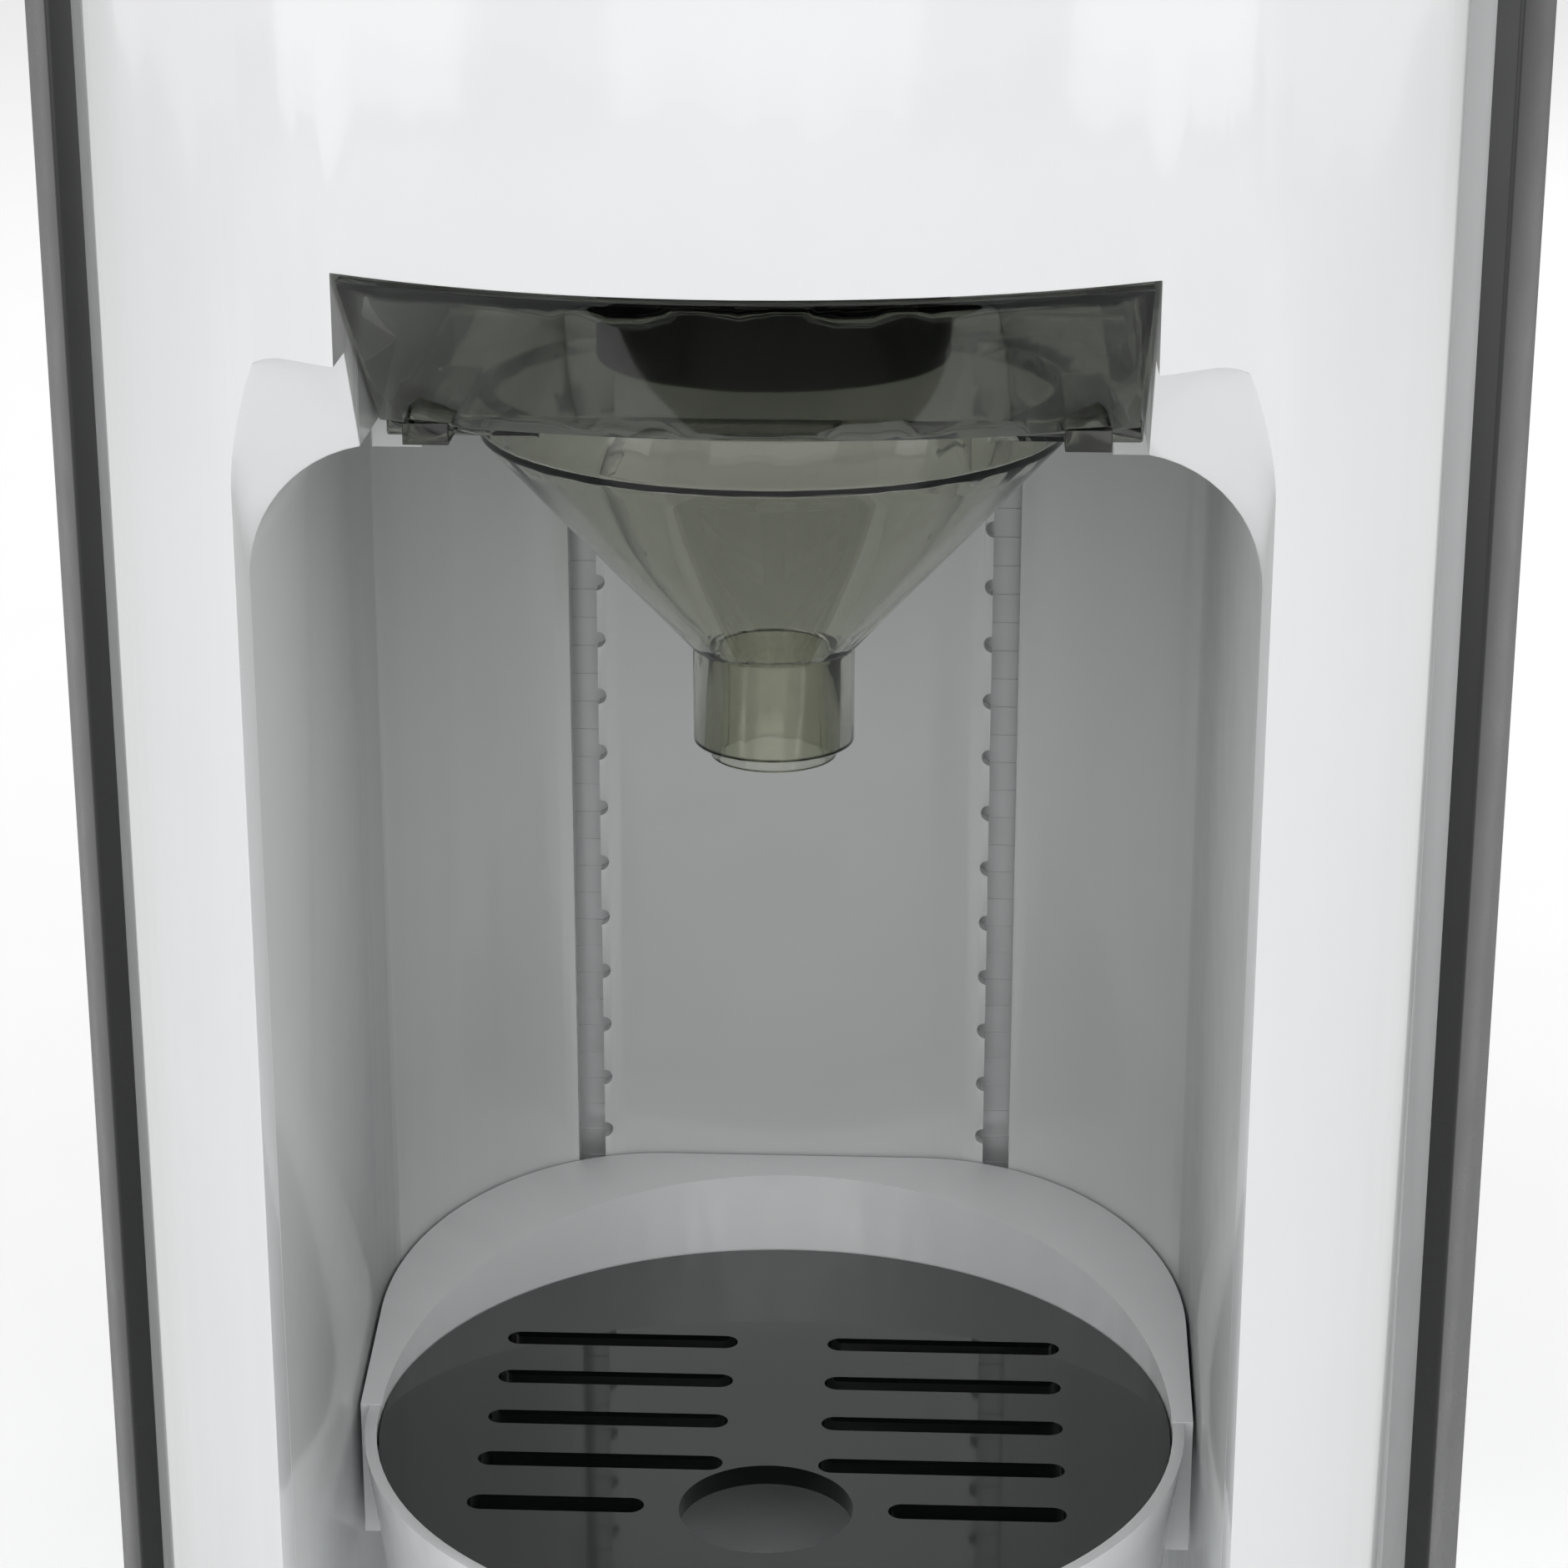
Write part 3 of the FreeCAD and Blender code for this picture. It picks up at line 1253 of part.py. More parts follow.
def make_valve_spring():
    low = plunger_z + plunger_head + spring_wire / 2 + seat_gap
    height = spring_height - spring_wire - 2 * seat_gap
    climb = height / (2 * math.pi * spring_turns)

    def coil_point(angle):
        return V(spring_radius * math.cos(angle), neck_y + spring_radius * math.sin(angle), low + climb * angle)

    def coil_direction(angle):
        return V(-spring_radius * math.sin(angle), spring_radius * math.cos(angle), climb).normalize()

    edges = []
    for quarter in range(4 * spring_turns):
        ends = [math.pi / 2 * (quarter + k) for k in (0, 1)]
        edges += two_arcs(coil_point(ends[0]), coil_direction(ends[0]),
                          coil_point(ends[1]), coil_direction(ends[1]))
    ring = Part.Wire([Part.Circle(coil_point(0), coil_direction(0), spring_wire / 2).toShape()])
    spring = Part.Wire(edges).makePipeShell([ring], True, False)
    print("spring gap between turns", round(2 * math.pi * climb - spring_wire, 2), "mm")
    return spring


def make_tank_platform():
    rear = platform_y
    body = rear_plan(tank_half_width - 1, bulkhead_y, rear, tank_corner, floor_z, platform_top_z)
    hollow = rear_plan(tank_half_width - 1 - platform_wall, bulkhead_y + platform_wall, rear - platform_wall,
                       tank_corner - platform_wall, floor_z - 1, platform_top_z - platform_wall)
    cup_radius = neck_radius + cup_gap
    body = body.cut(hollow)
    cup = rod(cup_radius + cup_wall, 0, neck_y, cup_floor_z - cup_floor, platform_top_z)
    bosses = [screw_boss(x, y, floor_z, platform_top_z - 1) for x, y in rear_screw_places]
    body = join([body, cup] + bosses)
    body = body.cut(rod(cup_radius, 0, neck_y, cup_floor_z, platform_top_z + 1))
    probe = rod(probe_radius, 0, neck_y, cup_floor_z - 0.5, neck_low_z - 0.2 - running_gap)
    nipple_start = V(0, neck_y - cup_radius - 0.5, cup_hose_z)
    nipple_length = neck_y - cup_radius - 0.5 - (bulkhead_y + platform_wall + 8)
    nipple = Part.makeCylinder(hose_bore - 0.05, nipple_length, nipple_start, V(0, -1, 0))
    body = join([body, probe, nipple])
    body = body.cut(Part.makeCylinder(1.2, nipple_length + 6, nipple_start + V(0, 3, 0), V(0, -1, 0)))
    hose_hole = Part.makeCylinder(hose_radius + 0.8, 3 * platform_wall, V(0, bulkhead_y - 1, cup_hose_z),
                                  V(0, 1, 0))
    body = body.cut(hose_hole)
    for x, y in rear_screw_places:
        body = body.cut(screw_hole(x, y, floor_z, screw_length - 5))
    gland_hole = Part.makeCylinder(gland_radius - 1.5, 3 * platform_wall, V(gland_x, rear + 1, gland_z),
                                   V(0, -1, 0))
    return body.cut(gland_hole)


def make_socket_seal():
    z = platform_top_z - 3.5
    return tube(neck_radius + cup_gap - 0.02, neck_radius + 0.08, 0, neck_y, z, z + 2.0)


def make_cord_gland():
    rear = platform_y
    z = gland_z
    flange = Part.makeCylinder(gland_radius - 0.4, 1.8, V(gland_x, rear + 1.8, z), V(0, -1, 0))
    sleeve = Part.makeCylinder(gland_radius - 1.5 - pin_fit, 8, V(gland_x, rear + 0.5, z), V(0, -1, 0))
    bore = Part.makeCylinder(gland_bore, 20, V(gland_x, rear + 5, z), V(0, -1, 0))
    return join([flange, sleeve]).cut(bore)


# Pump, heater, hoses and boards
def make_water_pump():
    body = cross_rod(pump_radius, pump_y, pump_z, pump_x - pump_length / 2, pump_x + pump_length / 2)
    end_x = pump_x + pump_length / 2
    head = cross_rod(pump_radius - 6, pump_y, pump_z, end_x - 1, end_x + 8)
    inlet = Part.makeCylinder(hose_bore - 0.05, 11, V(pump_inlet_x, pump_y + pump_radius - 6, pump_inlet_z),
                              V(0, 1, 0))
    outlet = rod(hose_bore - 0.05, pump_outlet_x, pump_y, pump_z + pump_radius - 6, pump_z + pump_radius + 5)
    return join([body, head, inlet, outlet])


def make_pump_cradle():
    block = box(pump_x - pump_cradle, pump_x + pump_cradle, pump_y - pump_radius - 1.5,
                pump_y + pump_radius + 1.5, floor_z, pump_z - 4)
    return block.cut(cross_rod(pump_radius + 0.05, pump_y, pump_z, pump_x - 40, pump_x + 40))


def make_heater_block():
    low = heater_low_z
    top = low + heater_length
    body = turned_profile([
        (0, low), (heater_radius - 4, low), (heater_radius, low + heater_cap),
        (heater_radius, top - heater_cap), (heater_radius - 4, top), (0, top)], heater_x, heater_y)
    inlet = Part.makeCylinder(hose_bore - 0.05, 14, V(heater_x - heater_radius + 4, heater_y, low + 14),
                              V(-1, 0, 0))
    outlet = rod(hose_bore - 0.05, heater_x, heater_y, top - 1, top + 10)
    return join([body, inlet, outlet])


def make_heater_bracket():
    outer = heater_radius + heater_bracket_wall
    ring = tube(outer, heater_radius - 4 + 0.1, heater_x, heater_y, heater_low_z - 3, heater_low_z)
    wall = tube(outer, heater_radius + 0.1, heater_x, heater_y, heater_low_z - 1, heater_low_z + 18)
    gap = Part.makeCylinder(hose_radius + 1.5, 30, V(heater_x, heater_y, heater_low_z + 14), V(-1, 0, 0))
    wall = wall.cut(gap)
    legs = [rod(3.0, heater_x + side * (heater_radius - 1), heater_y + end * (heater_radius - 10),
                floor_z, heater_low_z - 2)
            for side in (-1, 1) for end in (-1, 1)]
    return join([ring, wall] + legs)


def make_inlet_hose():
    start_y = neck_y - neck_radius - cup_gap - cup_wall - 0.3
    return hose([
        V(0, start_y, cup_hose_z),
        V(0, bulkhead_y - 10, cup_hose_z),
        V(pump_inlet_x, bulkhead_y - 13, pump_inlet_z),
        V(pump_inlet_x, pump_y + pump_radius + 0.5, pump_inlet_z),
    ], 4.5)


def make_delivery_hose():
    top = pump_z + pump_radius + 26
    target_z = heater_low_z + 14
    near_x = heater_x - heater_radius - 18
    return hose([
        V(pump_outlet_x, pump_y, pump_z + pump_radius + 0.5),
        V(pump_outlet_x, pump_y, top),
        V(near_x - 4, heater_y - 4, top),
        V(near_x, heater_y, target_z),
        V(heater_x - heater_radius - 1, heater_y, target_z),
    ], 6.5)


def make_hot_hose():
    top = heater_low_z + heater_length
    side_x = bracket_half_width + hose_radius + 3
    return hose([
        V(heater_x, heater_y, top + 0.5),
        V(heater_x, heater_y, spout_elbow_z - 50),
        V(side_x, bay_back_y + 13, spout_elbow_z - 14),
        V(side_x, spout_y, spout_elbow_z),
        V(spout_radius + 2.5, spout_y, spout_elbow_z),
    ], 8.0)


def wall_board(side, margin, low_z, height, blocks):
    """Circuit board on a side wall. A block is y, z, width and height as shares of the board, and depth."""
    wall_x = housing_x - shell_wall
    x1 = wall_x - pcb_standoff
    x0 = x1 - pcb_thickness
    y0 = trim_end_y + margin
    y1 = bulkhead_y - margin
    top_z = low_z + height
    pieces = [box(x0, x1, y0, y1, low_z, top_z)]
    for y_share, z_share, width_share, height_share, depth in blocks:
        y = y0 + y_share * (y1 - y0)
        z = low_z + z_share * height
        pieces.append(box(x0 - depth, x0 + 0.2, y, y + width_share * (y1 - y0), z, z + height_share * height))
    for y in (y0 + board_foot_inset, y1 - board_foot_inset):
        for z in (low_z + board_foot_inset, top_z - board_foot_inset):
            pieces.append(cross_rod(board_foot_radius, y, z, x1 - 0.2, wall_x))
    board = join(pieces)
    return board if side > 0 else mirrored(board)


def make_main_board():
    return wall_board(-1, main_board_margin, main_board_low_z, main_board_height, [
        (0.16, 0.18, 0.25, 0.19, 2.5), (0.53, 0.24, 0.16, 0.26, 9.0),
        (0.13, 0.59, 0.34, 0.10, 7.0), (0.63, 0.65, 0.19, 0.14, 5.0)])


def make_power_board():
    return wall_board(1, main_board_margin, power_board_low_z, power_board_height, [
        (0.12, 0.11, 0.40, 0.33, 16.0), (0.62, 0.17, 0.18, 0.17, 18.0),
        (0.19, 0.64, 0.22, 0.19, 12.0), (0.56, 0.56, 0.28, 0.25, 10.0)])


def write(name, shape):
    solids = shape.Solids
    if not solids or not all(solid.isValid() for solid in solids):
        print("PROBLEM", name, len(solids), [solid.isValid() for solid in solids])
    result = solids[0] if len(solids) == 1 else Part.makeCompound(solids)
    result.exportStep(os.path.join("parts", name + ".step"))
    print(name, len(solids), "solid(s)", round(sum(solid.Volume for solid in solids) / 1000, 2), "cm3")


def main():
    os.makedirs("parts", exist_ok=True)
    makers = {
        "base_plate": make_base_plate,
        "rubber_feet": make_rubber_feet,
        "housing_screws": make_housing_screws,
        "front_shell": make_front_shell,
        "niche_liner": make_niche_liner,
        "funnel_rails": make_funnel_rails,
        "trim_left": lambda: make_trim(-1),
        "trim_right": lambda: make_trim(1),
        "rear_housing": make_rear_housing,
        "top_deck": make_top_deck,
        "control_panel": make_control_panel,
        "display_window": make_display_window,
        "display_module": make_display_module,
        "control_board": make_control_board,
        "control_board_screws": make_control_board_screws,
        "bottle_stand": make_bottle_stand,
        "drip_plate": make_drip_plate,
        "funnel": make_funnel,
        "funnel_nozzle": make_funnel_nozzle,
        "funnel_cover": make_funnel_cover,
        "funnel_sensor": make_funnel_sensor,
        "powder_chute": make_powder_chute,
        "water_spout": make_water_spout,
        "powder_container": make_powder_container,
        "container_lid": make_container_lid,
        "container_lid_pin": make_container_lid_pin,
        "dosing_wheel": make_dosing_wheel,
        "stir_wheel": make_stir_wheel,
        "scraper_plate": make_scraper_plate,
        "drive_shaft": make_drive_shaft,
        "drive_gear": make_drive_gear,
        "motor_pinion": make_motor_pinion,
        "motor_shaft": make_motor_shaft,
        "shaft_bush": make_shaft_bush,
        "motor_bracket": make_motor_bracket,
        "gear_motor": make_gear_motor,
        "motor_screws": make_motor_screws,
        "water_tank": make_water_tank,
        "tank_lid": make_tank_lid,
        "tank_lid_pin": make_tank_lid_pin,
        "valve_plunger": make_valve_plunger,
        "valve_spring": make_valve_spring,
        "tank_platform": make_tank_platform,
        "socket_seal": make_socket_seal,
        "cord_gland": make_cord_gland,
        "water_pump": make_water_pump,
        "pump_cradle": make_pump_cradle,
        "heater_block": make_heater_block,
        "heater_bracket": make_heater_bracket,
        "inlet_hose": make_inlet_hose,
        "delivery_hose": make_delivery_hose,
        "hot_hose": make_hot_hose,
        "main_board": make_main_board,
        "power_board": make_power_board,
    }
    for name in buttons:
        write(name, make_button(name))
    for name, maker in makers.items():
        write(name, maker())


main()
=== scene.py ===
"""Looks of a baby formula maker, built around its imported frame. Metres, +Z up, the front faces -Y."""
import logging
import math
from dataclasses import dataclass
from enum import Enum
from typing import Sequence

import bmesh
import bpy
from mathutils import Matrix, Vector


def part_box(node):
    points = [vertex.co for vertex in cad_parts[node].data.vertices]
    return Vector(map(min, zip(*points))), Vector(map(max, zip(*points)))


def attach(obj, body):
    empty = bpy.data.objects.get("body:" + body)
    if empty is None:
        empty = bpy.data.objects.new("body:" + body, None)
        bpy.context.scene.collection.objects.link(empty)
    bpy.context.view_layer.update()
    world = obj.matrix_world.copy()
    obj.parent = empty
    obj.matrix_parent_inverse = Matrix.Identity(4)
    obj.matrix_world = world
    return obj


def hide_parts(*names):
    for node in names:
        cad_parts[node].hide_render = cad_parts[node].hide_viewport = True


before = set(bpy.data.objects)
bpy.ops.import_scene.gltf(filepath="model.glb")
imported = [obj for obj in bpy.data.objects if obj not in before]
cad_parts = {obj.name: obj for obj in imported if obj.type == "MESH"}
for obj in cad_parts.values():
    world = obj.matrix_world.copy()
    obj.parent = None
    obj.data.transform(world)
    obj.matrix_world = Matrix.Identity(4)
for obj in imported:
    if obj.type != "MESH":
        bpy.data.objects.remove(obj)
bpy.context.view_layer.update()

log = logging.getLogger("formula_maker")
# Metres in a millimetre
MM = 0.001
# Size of the soft colour clouds and of the handling smears on every finish, and of the floor's clouds
CLOUD_MM = 22.0
SMEAR_MM = 9.0
PAPER_MM = 40.0
# How strongly the grain of a finish shows in its shading
RELIEF_STRENGTH = 0.35
# Vertices closer than this many metres are joined: in new meshes, and before an edge is rounded
SAME_POINT = 1e-6
WELD_REACH = 1e-5
# Edges sharper than this stay crisp; flatter ones are shaded smooth and aren't rounded
CRISP_EDGE_DEG = 32.0
Point2 = tuple[float, float]
Socket = bpy.types.NodeSocket


# Colour and node helpers
def linear(hex_colour: str) -> tuple[float, float, float, float]:
    """Turn an sRGB hex colour into linear RGBA.

    Args:
        hex_colour: six hex digits, such as "F4F5F7".

    Returns:
        The linear colour with an alpha of 1.
    """
    parts = [int(hex_colour[i:i + 2], 16) / 255 for i in (0, 2, 4)]
    low, slope, power = 0.04045, 12.92, 2.4
    values = [c / slope if c <= low else ((c + 0.055) / 1.055) ** power for c in parts]
    return (values[0], values[1], values[2], 1.0)


def add_node(tree: bpy.types.NodeTree, kind: str, inputs: dict | None = None,
             **settings: object) -> bpy.types.Node:
    """Add one node with its settings and links.

    Args:
        tree: the node tree that takes the node.
        kind: Blender's name of the node type.
        inputs: socket name or number to a value, or to the output socket that feeds it.
        **settings: attributes of the node.

    Returns:
        The new node.
    """
    node = tree.nodes.new(kind)
    for name, value in settings.items():
        setattr(node, name, value)
    for name, value in (inputs or {}).items():
        if isinstance(value, Socket):
            tree.links.new(value, node.inputs[name])
        else:
            node.inputs[name].default_value = value
    return node


def per_metre(size_mm: float) -> float:
    """Work out a texture scale on coordinates in metres.

    Args:
        size_mm: width of one pattern cell.

    Returns:
        The scale at which a cell has that width.
    """
    return 1.0 / (size_mm * MM)


# Finishes
@dataclass(frozen=True)
class Finish:
    """What every finish shares: a name, a base colour and the grain of its surface.

    clouding says how much darker its soft clouds are, and drift how far its roughness wanders, as a
    share of the roughness.
    """

    name: str
    colour: str
    roughness: float
    grain_mm: float
    relief_mm: float
    clouding: float = 0.04
    drift: float = 0.2

    def build(self) -> bpy.types.Material:
        """Make the Blender material.

        Returns:
            A material whose colour, roughness and bump vary over the surface.
        """
        material = bpy.data.materials.new(self.name)
        material.use_nodes = True
        tree = material.node_tree
        tree.nodes.clear()
        place = add_node(tree, "ShaderNodeTexCoord").outputs["Object"]
        shader = add_node(tree, "ShaderNodeBsdfPrincipled")
        self.dress(tree, shader, place)
        add_node(tree, "ShaderNodeOutputMaterial", {"Surface": shader.outputs["BSDF"]})
        return material

    def dress(self, tree: bpy.types.NodeTree, shader: bpy.types.Node, place: Socket) -> None:
        """Wire the textures into the shader.

        Args:
            tree: the material's node tree.
            shader: its Principled shader.
            place: object coordinates.
        """
        self.vary_colour(tree, shader, place)
        self.vary_roughness(tree, shader, place)
        self.raise_grain(tree, shader, place)

    def vary_colour(self, tree: bpy.types.NodeTree, shader: bpy.types.Node, place: Socket) -> None:
        """Mix the colour with a slightly deeper one, in soft clouds.

        Args:
            tree: the material's node tree.
            shader: its Principled shader.
            place: object coordinates.
        """
        base = linear(self.colour)
        deep = tuple(c * (1 - self.clouding) for c in base[:3]) + (1.0,)
        clouds = add_node(tree, "ShaderNodeTexNoise", {
            "Vector": place, "Scale": per_metre(CLOUD_MM), "Detail": 2.0})
        mixed = add_node(tree, "ShaderNodeMix", {
            0: clouds.outputs["Fac"], 6: base, 7: deep}, data_type="RGBA")
        tree.links.new(mixed.outputs[2], shader.inputs["Base Color"])

    def vary_roughness(self, tree: bpy.types.NodeTree, shader: bpy.types.Node, place: Socket) -> None:
        """Let the roughness drift around its mean, as handled plastic does.

        Args:
            tree: the material's node tree.
            shader: its Principled shader.
            place: object coordinates.
        """
        smears = add_node(tree, "ShaderNodeTexNoise", {
            "Vector": place, "Scale": per_metre(SMEAR_MM), "Detail": 4.0})
        ranged = add_node(tree, "ShaderNodeMapRange", {
            "Value": smears.outputs["Fac"],
            "To Min": self.roughness * (1 - self.drift),
            "To Max": self.roughness * (1 + self.drift),
        })
        tree.links.new(ranged.outputs["Result"], shader.inputs["Roughness"])

    def raise_grain(self, tree: bpy.types.NodeTree, shader: bpy.types.Node, place: Socket) -> None:
        """Give the surface the relief of its mould or its making.

        Args:
            tree: the material's node tree.
            shader: its Principled shader.
            place: object coordinates.
        """
        grain = add_node(tree, "ShaderNodeTexNoise", {
            "Vector": place, "Scale": per_metre(self.grain_mm), "Detail": 3.0})
        bump = add_node(tree, "ShaderNodeBump", {
            "Height": grain.outputs["Fac"], "Strength": RELIEF_STRENGTH, "Distance": self.relief_mm * MM})
        tree.links.new(bump.outputs["Normal"], shader.inputs["Normal"])


@dataclass(frozen=True)
class MouldedPlastic(Finish):
    """Injection-moulded plastic: gloss or satin, with a faint ripple from the mould."""

    coat: float = 0.0
    coat_roughness: float = 0.04
    ior: float = 1.53

    def dress(self, tree: bpy.types.NodeTree, shader: bpy.types.Node, place: Socket) -> None:
        """Add the clear gloss of a polished mould to the shared textures.

        Args:
            tree: the material's node tree.
            shader: its Principled shader.
            place: object coordinates.
        """
        super().dress(tree, shader, place)
        shader.inputs["IOR"].default_value = self.ior
        shader.inputs["Coat Weight"].default_value = self.coat
        shader.inputs["Coat Roughness"].default_value = self.coat_roughness


@dataclass(frozen=True)
class SmokedPlastic(Finish):
    """Clear copolyester tinted with smoke: light passes through and picks up the tint."""

    clouding: float = 0.03
    drift: float = 0.3
    ior: float = 1.45

    def dress(self, tree: bpy.types.NodeTree, shader: bpy.types.Node, place: Socket) -> None:
        """Let light through the tinted body.

        Args:
            tree: the material's node tree.
            shader: its Principled shader.
            place: object coordinates.
        """
        self.vary_colour(tree, shader, place)
        self.vary_roughness(tree, shader, place)
        self.raise_grain(tree, shader, place)
        shader.inputs["IOR"].default_value = self.ior
        shader.inputs["Transmission Weight"].default_value = 1.0


@dataclass(frozen=True)
class BrushedMetal(Finish):
    """Metal with fine drawn lines along one axis."""

    clouding: float = 0.12
    drift: float = 0.35
    line_stretch: float = 18.0

    def dress(self, tree: bpy.types.NodeTree, shader: bpy.types.Node, place: Socket) -> None:
        """Stretch the grain into lines and make the body metallic.

        Args:
            tree: the material's node tree.
            shader: its Principled shader.
            place: object coordinates.
        """
        scaled = add_node(tree, "ShaderNodeVectorMath", {0: place, 1: (1.0, 1.0, 1.0 / self.line_stretch)},
                          operation="MULTIPLY")
        lines = scaled.outputs["Vector"]
        self.vary_colour(tree, shader, place)
        self.vary_roughness(tree, shader, lines)
        self.raise_grain(tree, shader, lines)
        shader.inputs["Metallic"].default_value = 1.0


@dataclass(frozen=True)
class CircuitLaminate(Finish):
    """Glass-epoxy board under green solder mask, with copper tracks showing as paler lines."""

    track_mm: float = 3.0
    track_share: float = 0.06
    track_gain: float = 2.2
    track_lift: float = 0.02

    def dress(self, tree: bpy.types.NodeTree, shader: bpy.types.Node, place: Socket) -> None:
        """Draw the tracks as the mortar of a brick pattern.

        Args:
            tree: the material's node tree.
            shader: its Principled shader.
            place: object coordinates.
        """
        base = linear(self.colour)
        track = tuple(min(1.0, c * self.track_gain + self.track_lift) for c in base[:3]) + (1.0,)
        turned = add_node(tree, "ShaderNodeMapping", {
            "Vector": place, "Rotation": (0.0, math.radians(90), 0.0)})
        tracks = add_node(tree, "ShaderNodeTexBrick", {
            "Vector": turned.outputs["Vector"], "Color1": base, "Color2": base, "Mortar": track,
            "Scale": per_metre(self.track_mm), "Mortar Size": self.track_share})
        tree.links.new(tracks.outputs["Color"], shader.inputs["Base Color"])
        self.vary_roughness(tree, shader, place)
        self.raise_grain(tree, shader, place)


@dataclass(frozen=True)
class LitInk(Finish):
    """Backlit print behind the panel: a soft even glow."""

    glow: float = 0.9

    def dress(self, tree: bpy.types.NodeTree, shader: bpy.types.Node, place: Socket) -> None:
        """Add the glow to the printed colour.

        Args:
            tree: the material's node tree.
            shader: its Principled shader.
            place: object coordinates.
        """
        super().dress(tree, shader, place)
        shader.inputs["Emission Color"].default_value = linear(self.colour)
        shader.inputs["Emission Strength"].default_value = self.glow


class Look(Enum):
    """The finishes of this object, by what each is made of and how."""

    # Polished-mould ABS: a bright white with a clear, soft-edged reflection
    WHITE_ABS = MouldedPlastic("white_abs_polished", "F3F4F5", 0.16, 14.0, 0.010, coat=0.35)
    # Satin-mould ABS for the bay's lining: coloured a shade greyer than the shell as painted shade of the
    # recess; the satin scatters its reflections
    BAY_ABS = MouldedPlastic("bay_abs_satin_painted_shade", "DADCDC", 0.22, 10.0, 0.012, coat=0.25)
    # Semi-gloss black ABS: near-black strips whose facets catch a grey sheen
    TRIM_ABS = MouldedPlastic("trim_abs_semi_gloss", "0E100F", 0.28, 6.0, 0.012)
    # Piano-black ABS: mirror-like, showing the lights as clean shapes
    PIANO_BLACK = MouldedPlastic("piano_black_abs", "101211", 0.08, 18.0, 0.006, coat=0.8)
    # Glass-filled nylon: dull near-black with visible fine speckle
    DARK_NYLON = MouldedPlastic("glass_filled_nylon", "1F211F", 0.55, 1.2, 0.05)
    # Silk-finish ABS keys: mid grey, softly reflecting
    KEY_ABS = MouldedPlastic("key_abs_silk", "2A2C2D", 0.30, 4.0, 0.01, coat=0.1)
    # Natural acetal: milky white working parts with a waxy sheen
    ACETAL = MouldedPlastic("natural_acetal", "E9E8E2", 0.35, 5.0, 0.02)
    # Smoke-tinted copolyester, thick mouldings: olive-grey and clear
    SMOKED = SmokedPlastic("smoked_copolyester", "E6E7DD", 0.03, 30.0, 0.010)
    # The cover's deeper tint: dark olive glass that still shows what lies behind
    SMOKED_DEEP = SmokedPlastic("smoked_copolyester_deep", "B4B6AC", 0.03, 30.0, 0.010)
    # Tank and powder container: a lighter grey smoke
    SMOKED_TANK = SmokedPlastic("smoked_copolyester_tank", "CDD0D0", 0.04, 24.0, 0.015)
    # Zinc-plated steel: cool grey metal with faint draw lines
    STEEL = BrushedMetal("zinc_plated_steel", "B9BABB", 0.32, 0.8, 0.01)
    # Sintered bronze: warm, dull and slightly porous
    BRONZE = BrushedMetal("sintered_bronze", "A87C4A", 0.45, 0.9, 0.02, line_stretch=1.0)
    # Moulded silicone rubber: soft black without gloss
    RUBBER = MouldedPlastic("moulded_silicone", "1C1C1D", 0.75, 1.5, 0.04)
    # Solder-masked laminate: green board with paler copper tracks
    LAMINATE = CircuitLaminate("solder_masked_laminate", "14532D", 0.35, 2.0, 0.02)
    # Printed marks: flat pale grey ink with a touch of tooth
    PALE_INK = MouldedPlastic("screen_printed_ink", "D9DBDA", 0.5, 0.8, 0.01)
    # Backlit digits: cool white glow
    LIT_INK = LitInk("backlit_digits", "DDEBFF", 0.4, 3.0, 0.01)

    def material(self) -> bpy.types.Material:
        """The Blender material of this finish, made on first use."""
        made = bpy.data.materials.get(self.value.name)
        return made or self.value.build()


# Mesh helpers
def link(name: str, mesh: bpy.types.Mesh) -> bpy.types.Object:
    """Put a mesh into the scene.

    Args:
        name: the new object's name.
        mesh: its mesh.

    Returns:
        The new object.
    """
    piece = bpy.data.objects.new(name, mesh)
    bpy.context.scene.collection.objects.link(piece)
    return piece


def mesh_piece(name: str, points: Sequence[Sequence[float]], faces: Sequence[Sequence[int]],
               smooth_deg: float = 35.0) -> bpy.types.Object:
    """Make a piece from points in metres and faces.

    Args:
        name: the piece's name.
        points: its vertices.
        faces: vertex numbers of each face.
        smooth_deg: edges sharper than this stay crisp.

    Returns:
        The new object, with its normals pointing outwards.
    """
    mesh = bpy.data.meshes.new(name)
    mesh.from_pydata([tuple(p) for p in points], [], [tuple(f) for f in faces])
    work = bmesh.new()
    work.from_mesh(mesh)
    bmesh.ops.remove_doubles(work, verts=work.verts, dist=SAME_POINT)
    bmesh.ops.recalc_face_normals(work, faces=work.faces)
    work.to_mesh(mesh)
    work.free()
    mesh.shade_smooth()
    mesh.set_sharp_from_angle(angle=math.radians(smooth_deg))
    return link(name, mesh)


def plates(name: str, outlines: Sequence[Sequence[Point2]], low: float, high: float) -> bpy.types.Object:
    """Extrude flat outlines between two heights into one piece.

    Args:
        name: the piece's name.
        outlines: closed outlines in millimetres that don't touch each other.
        low: height of the lower faces in millimetres.
        high: height of the upper faces in millimetres.

    Returns:
        The new piece.
    """
    points: list[tuple[float, float, float]] = []
    faces: list[tuple[int, ...]] = []
    for outline in outlines:
        first, count = len(points), len(outline)
        points += [(x * MM, y * MM, z * MM) for z in (low, high) for x, y in outline]
        faces += [tuple(range(first, first + count)), tuple(range(first + count, first + 2 * count))]
        faces += [(first + i, first + (i + 1) % count, first + count + (i + 1) % count, first + count + i)
                  for i in range(count)]
    return mesh_piece(name, points, faces)


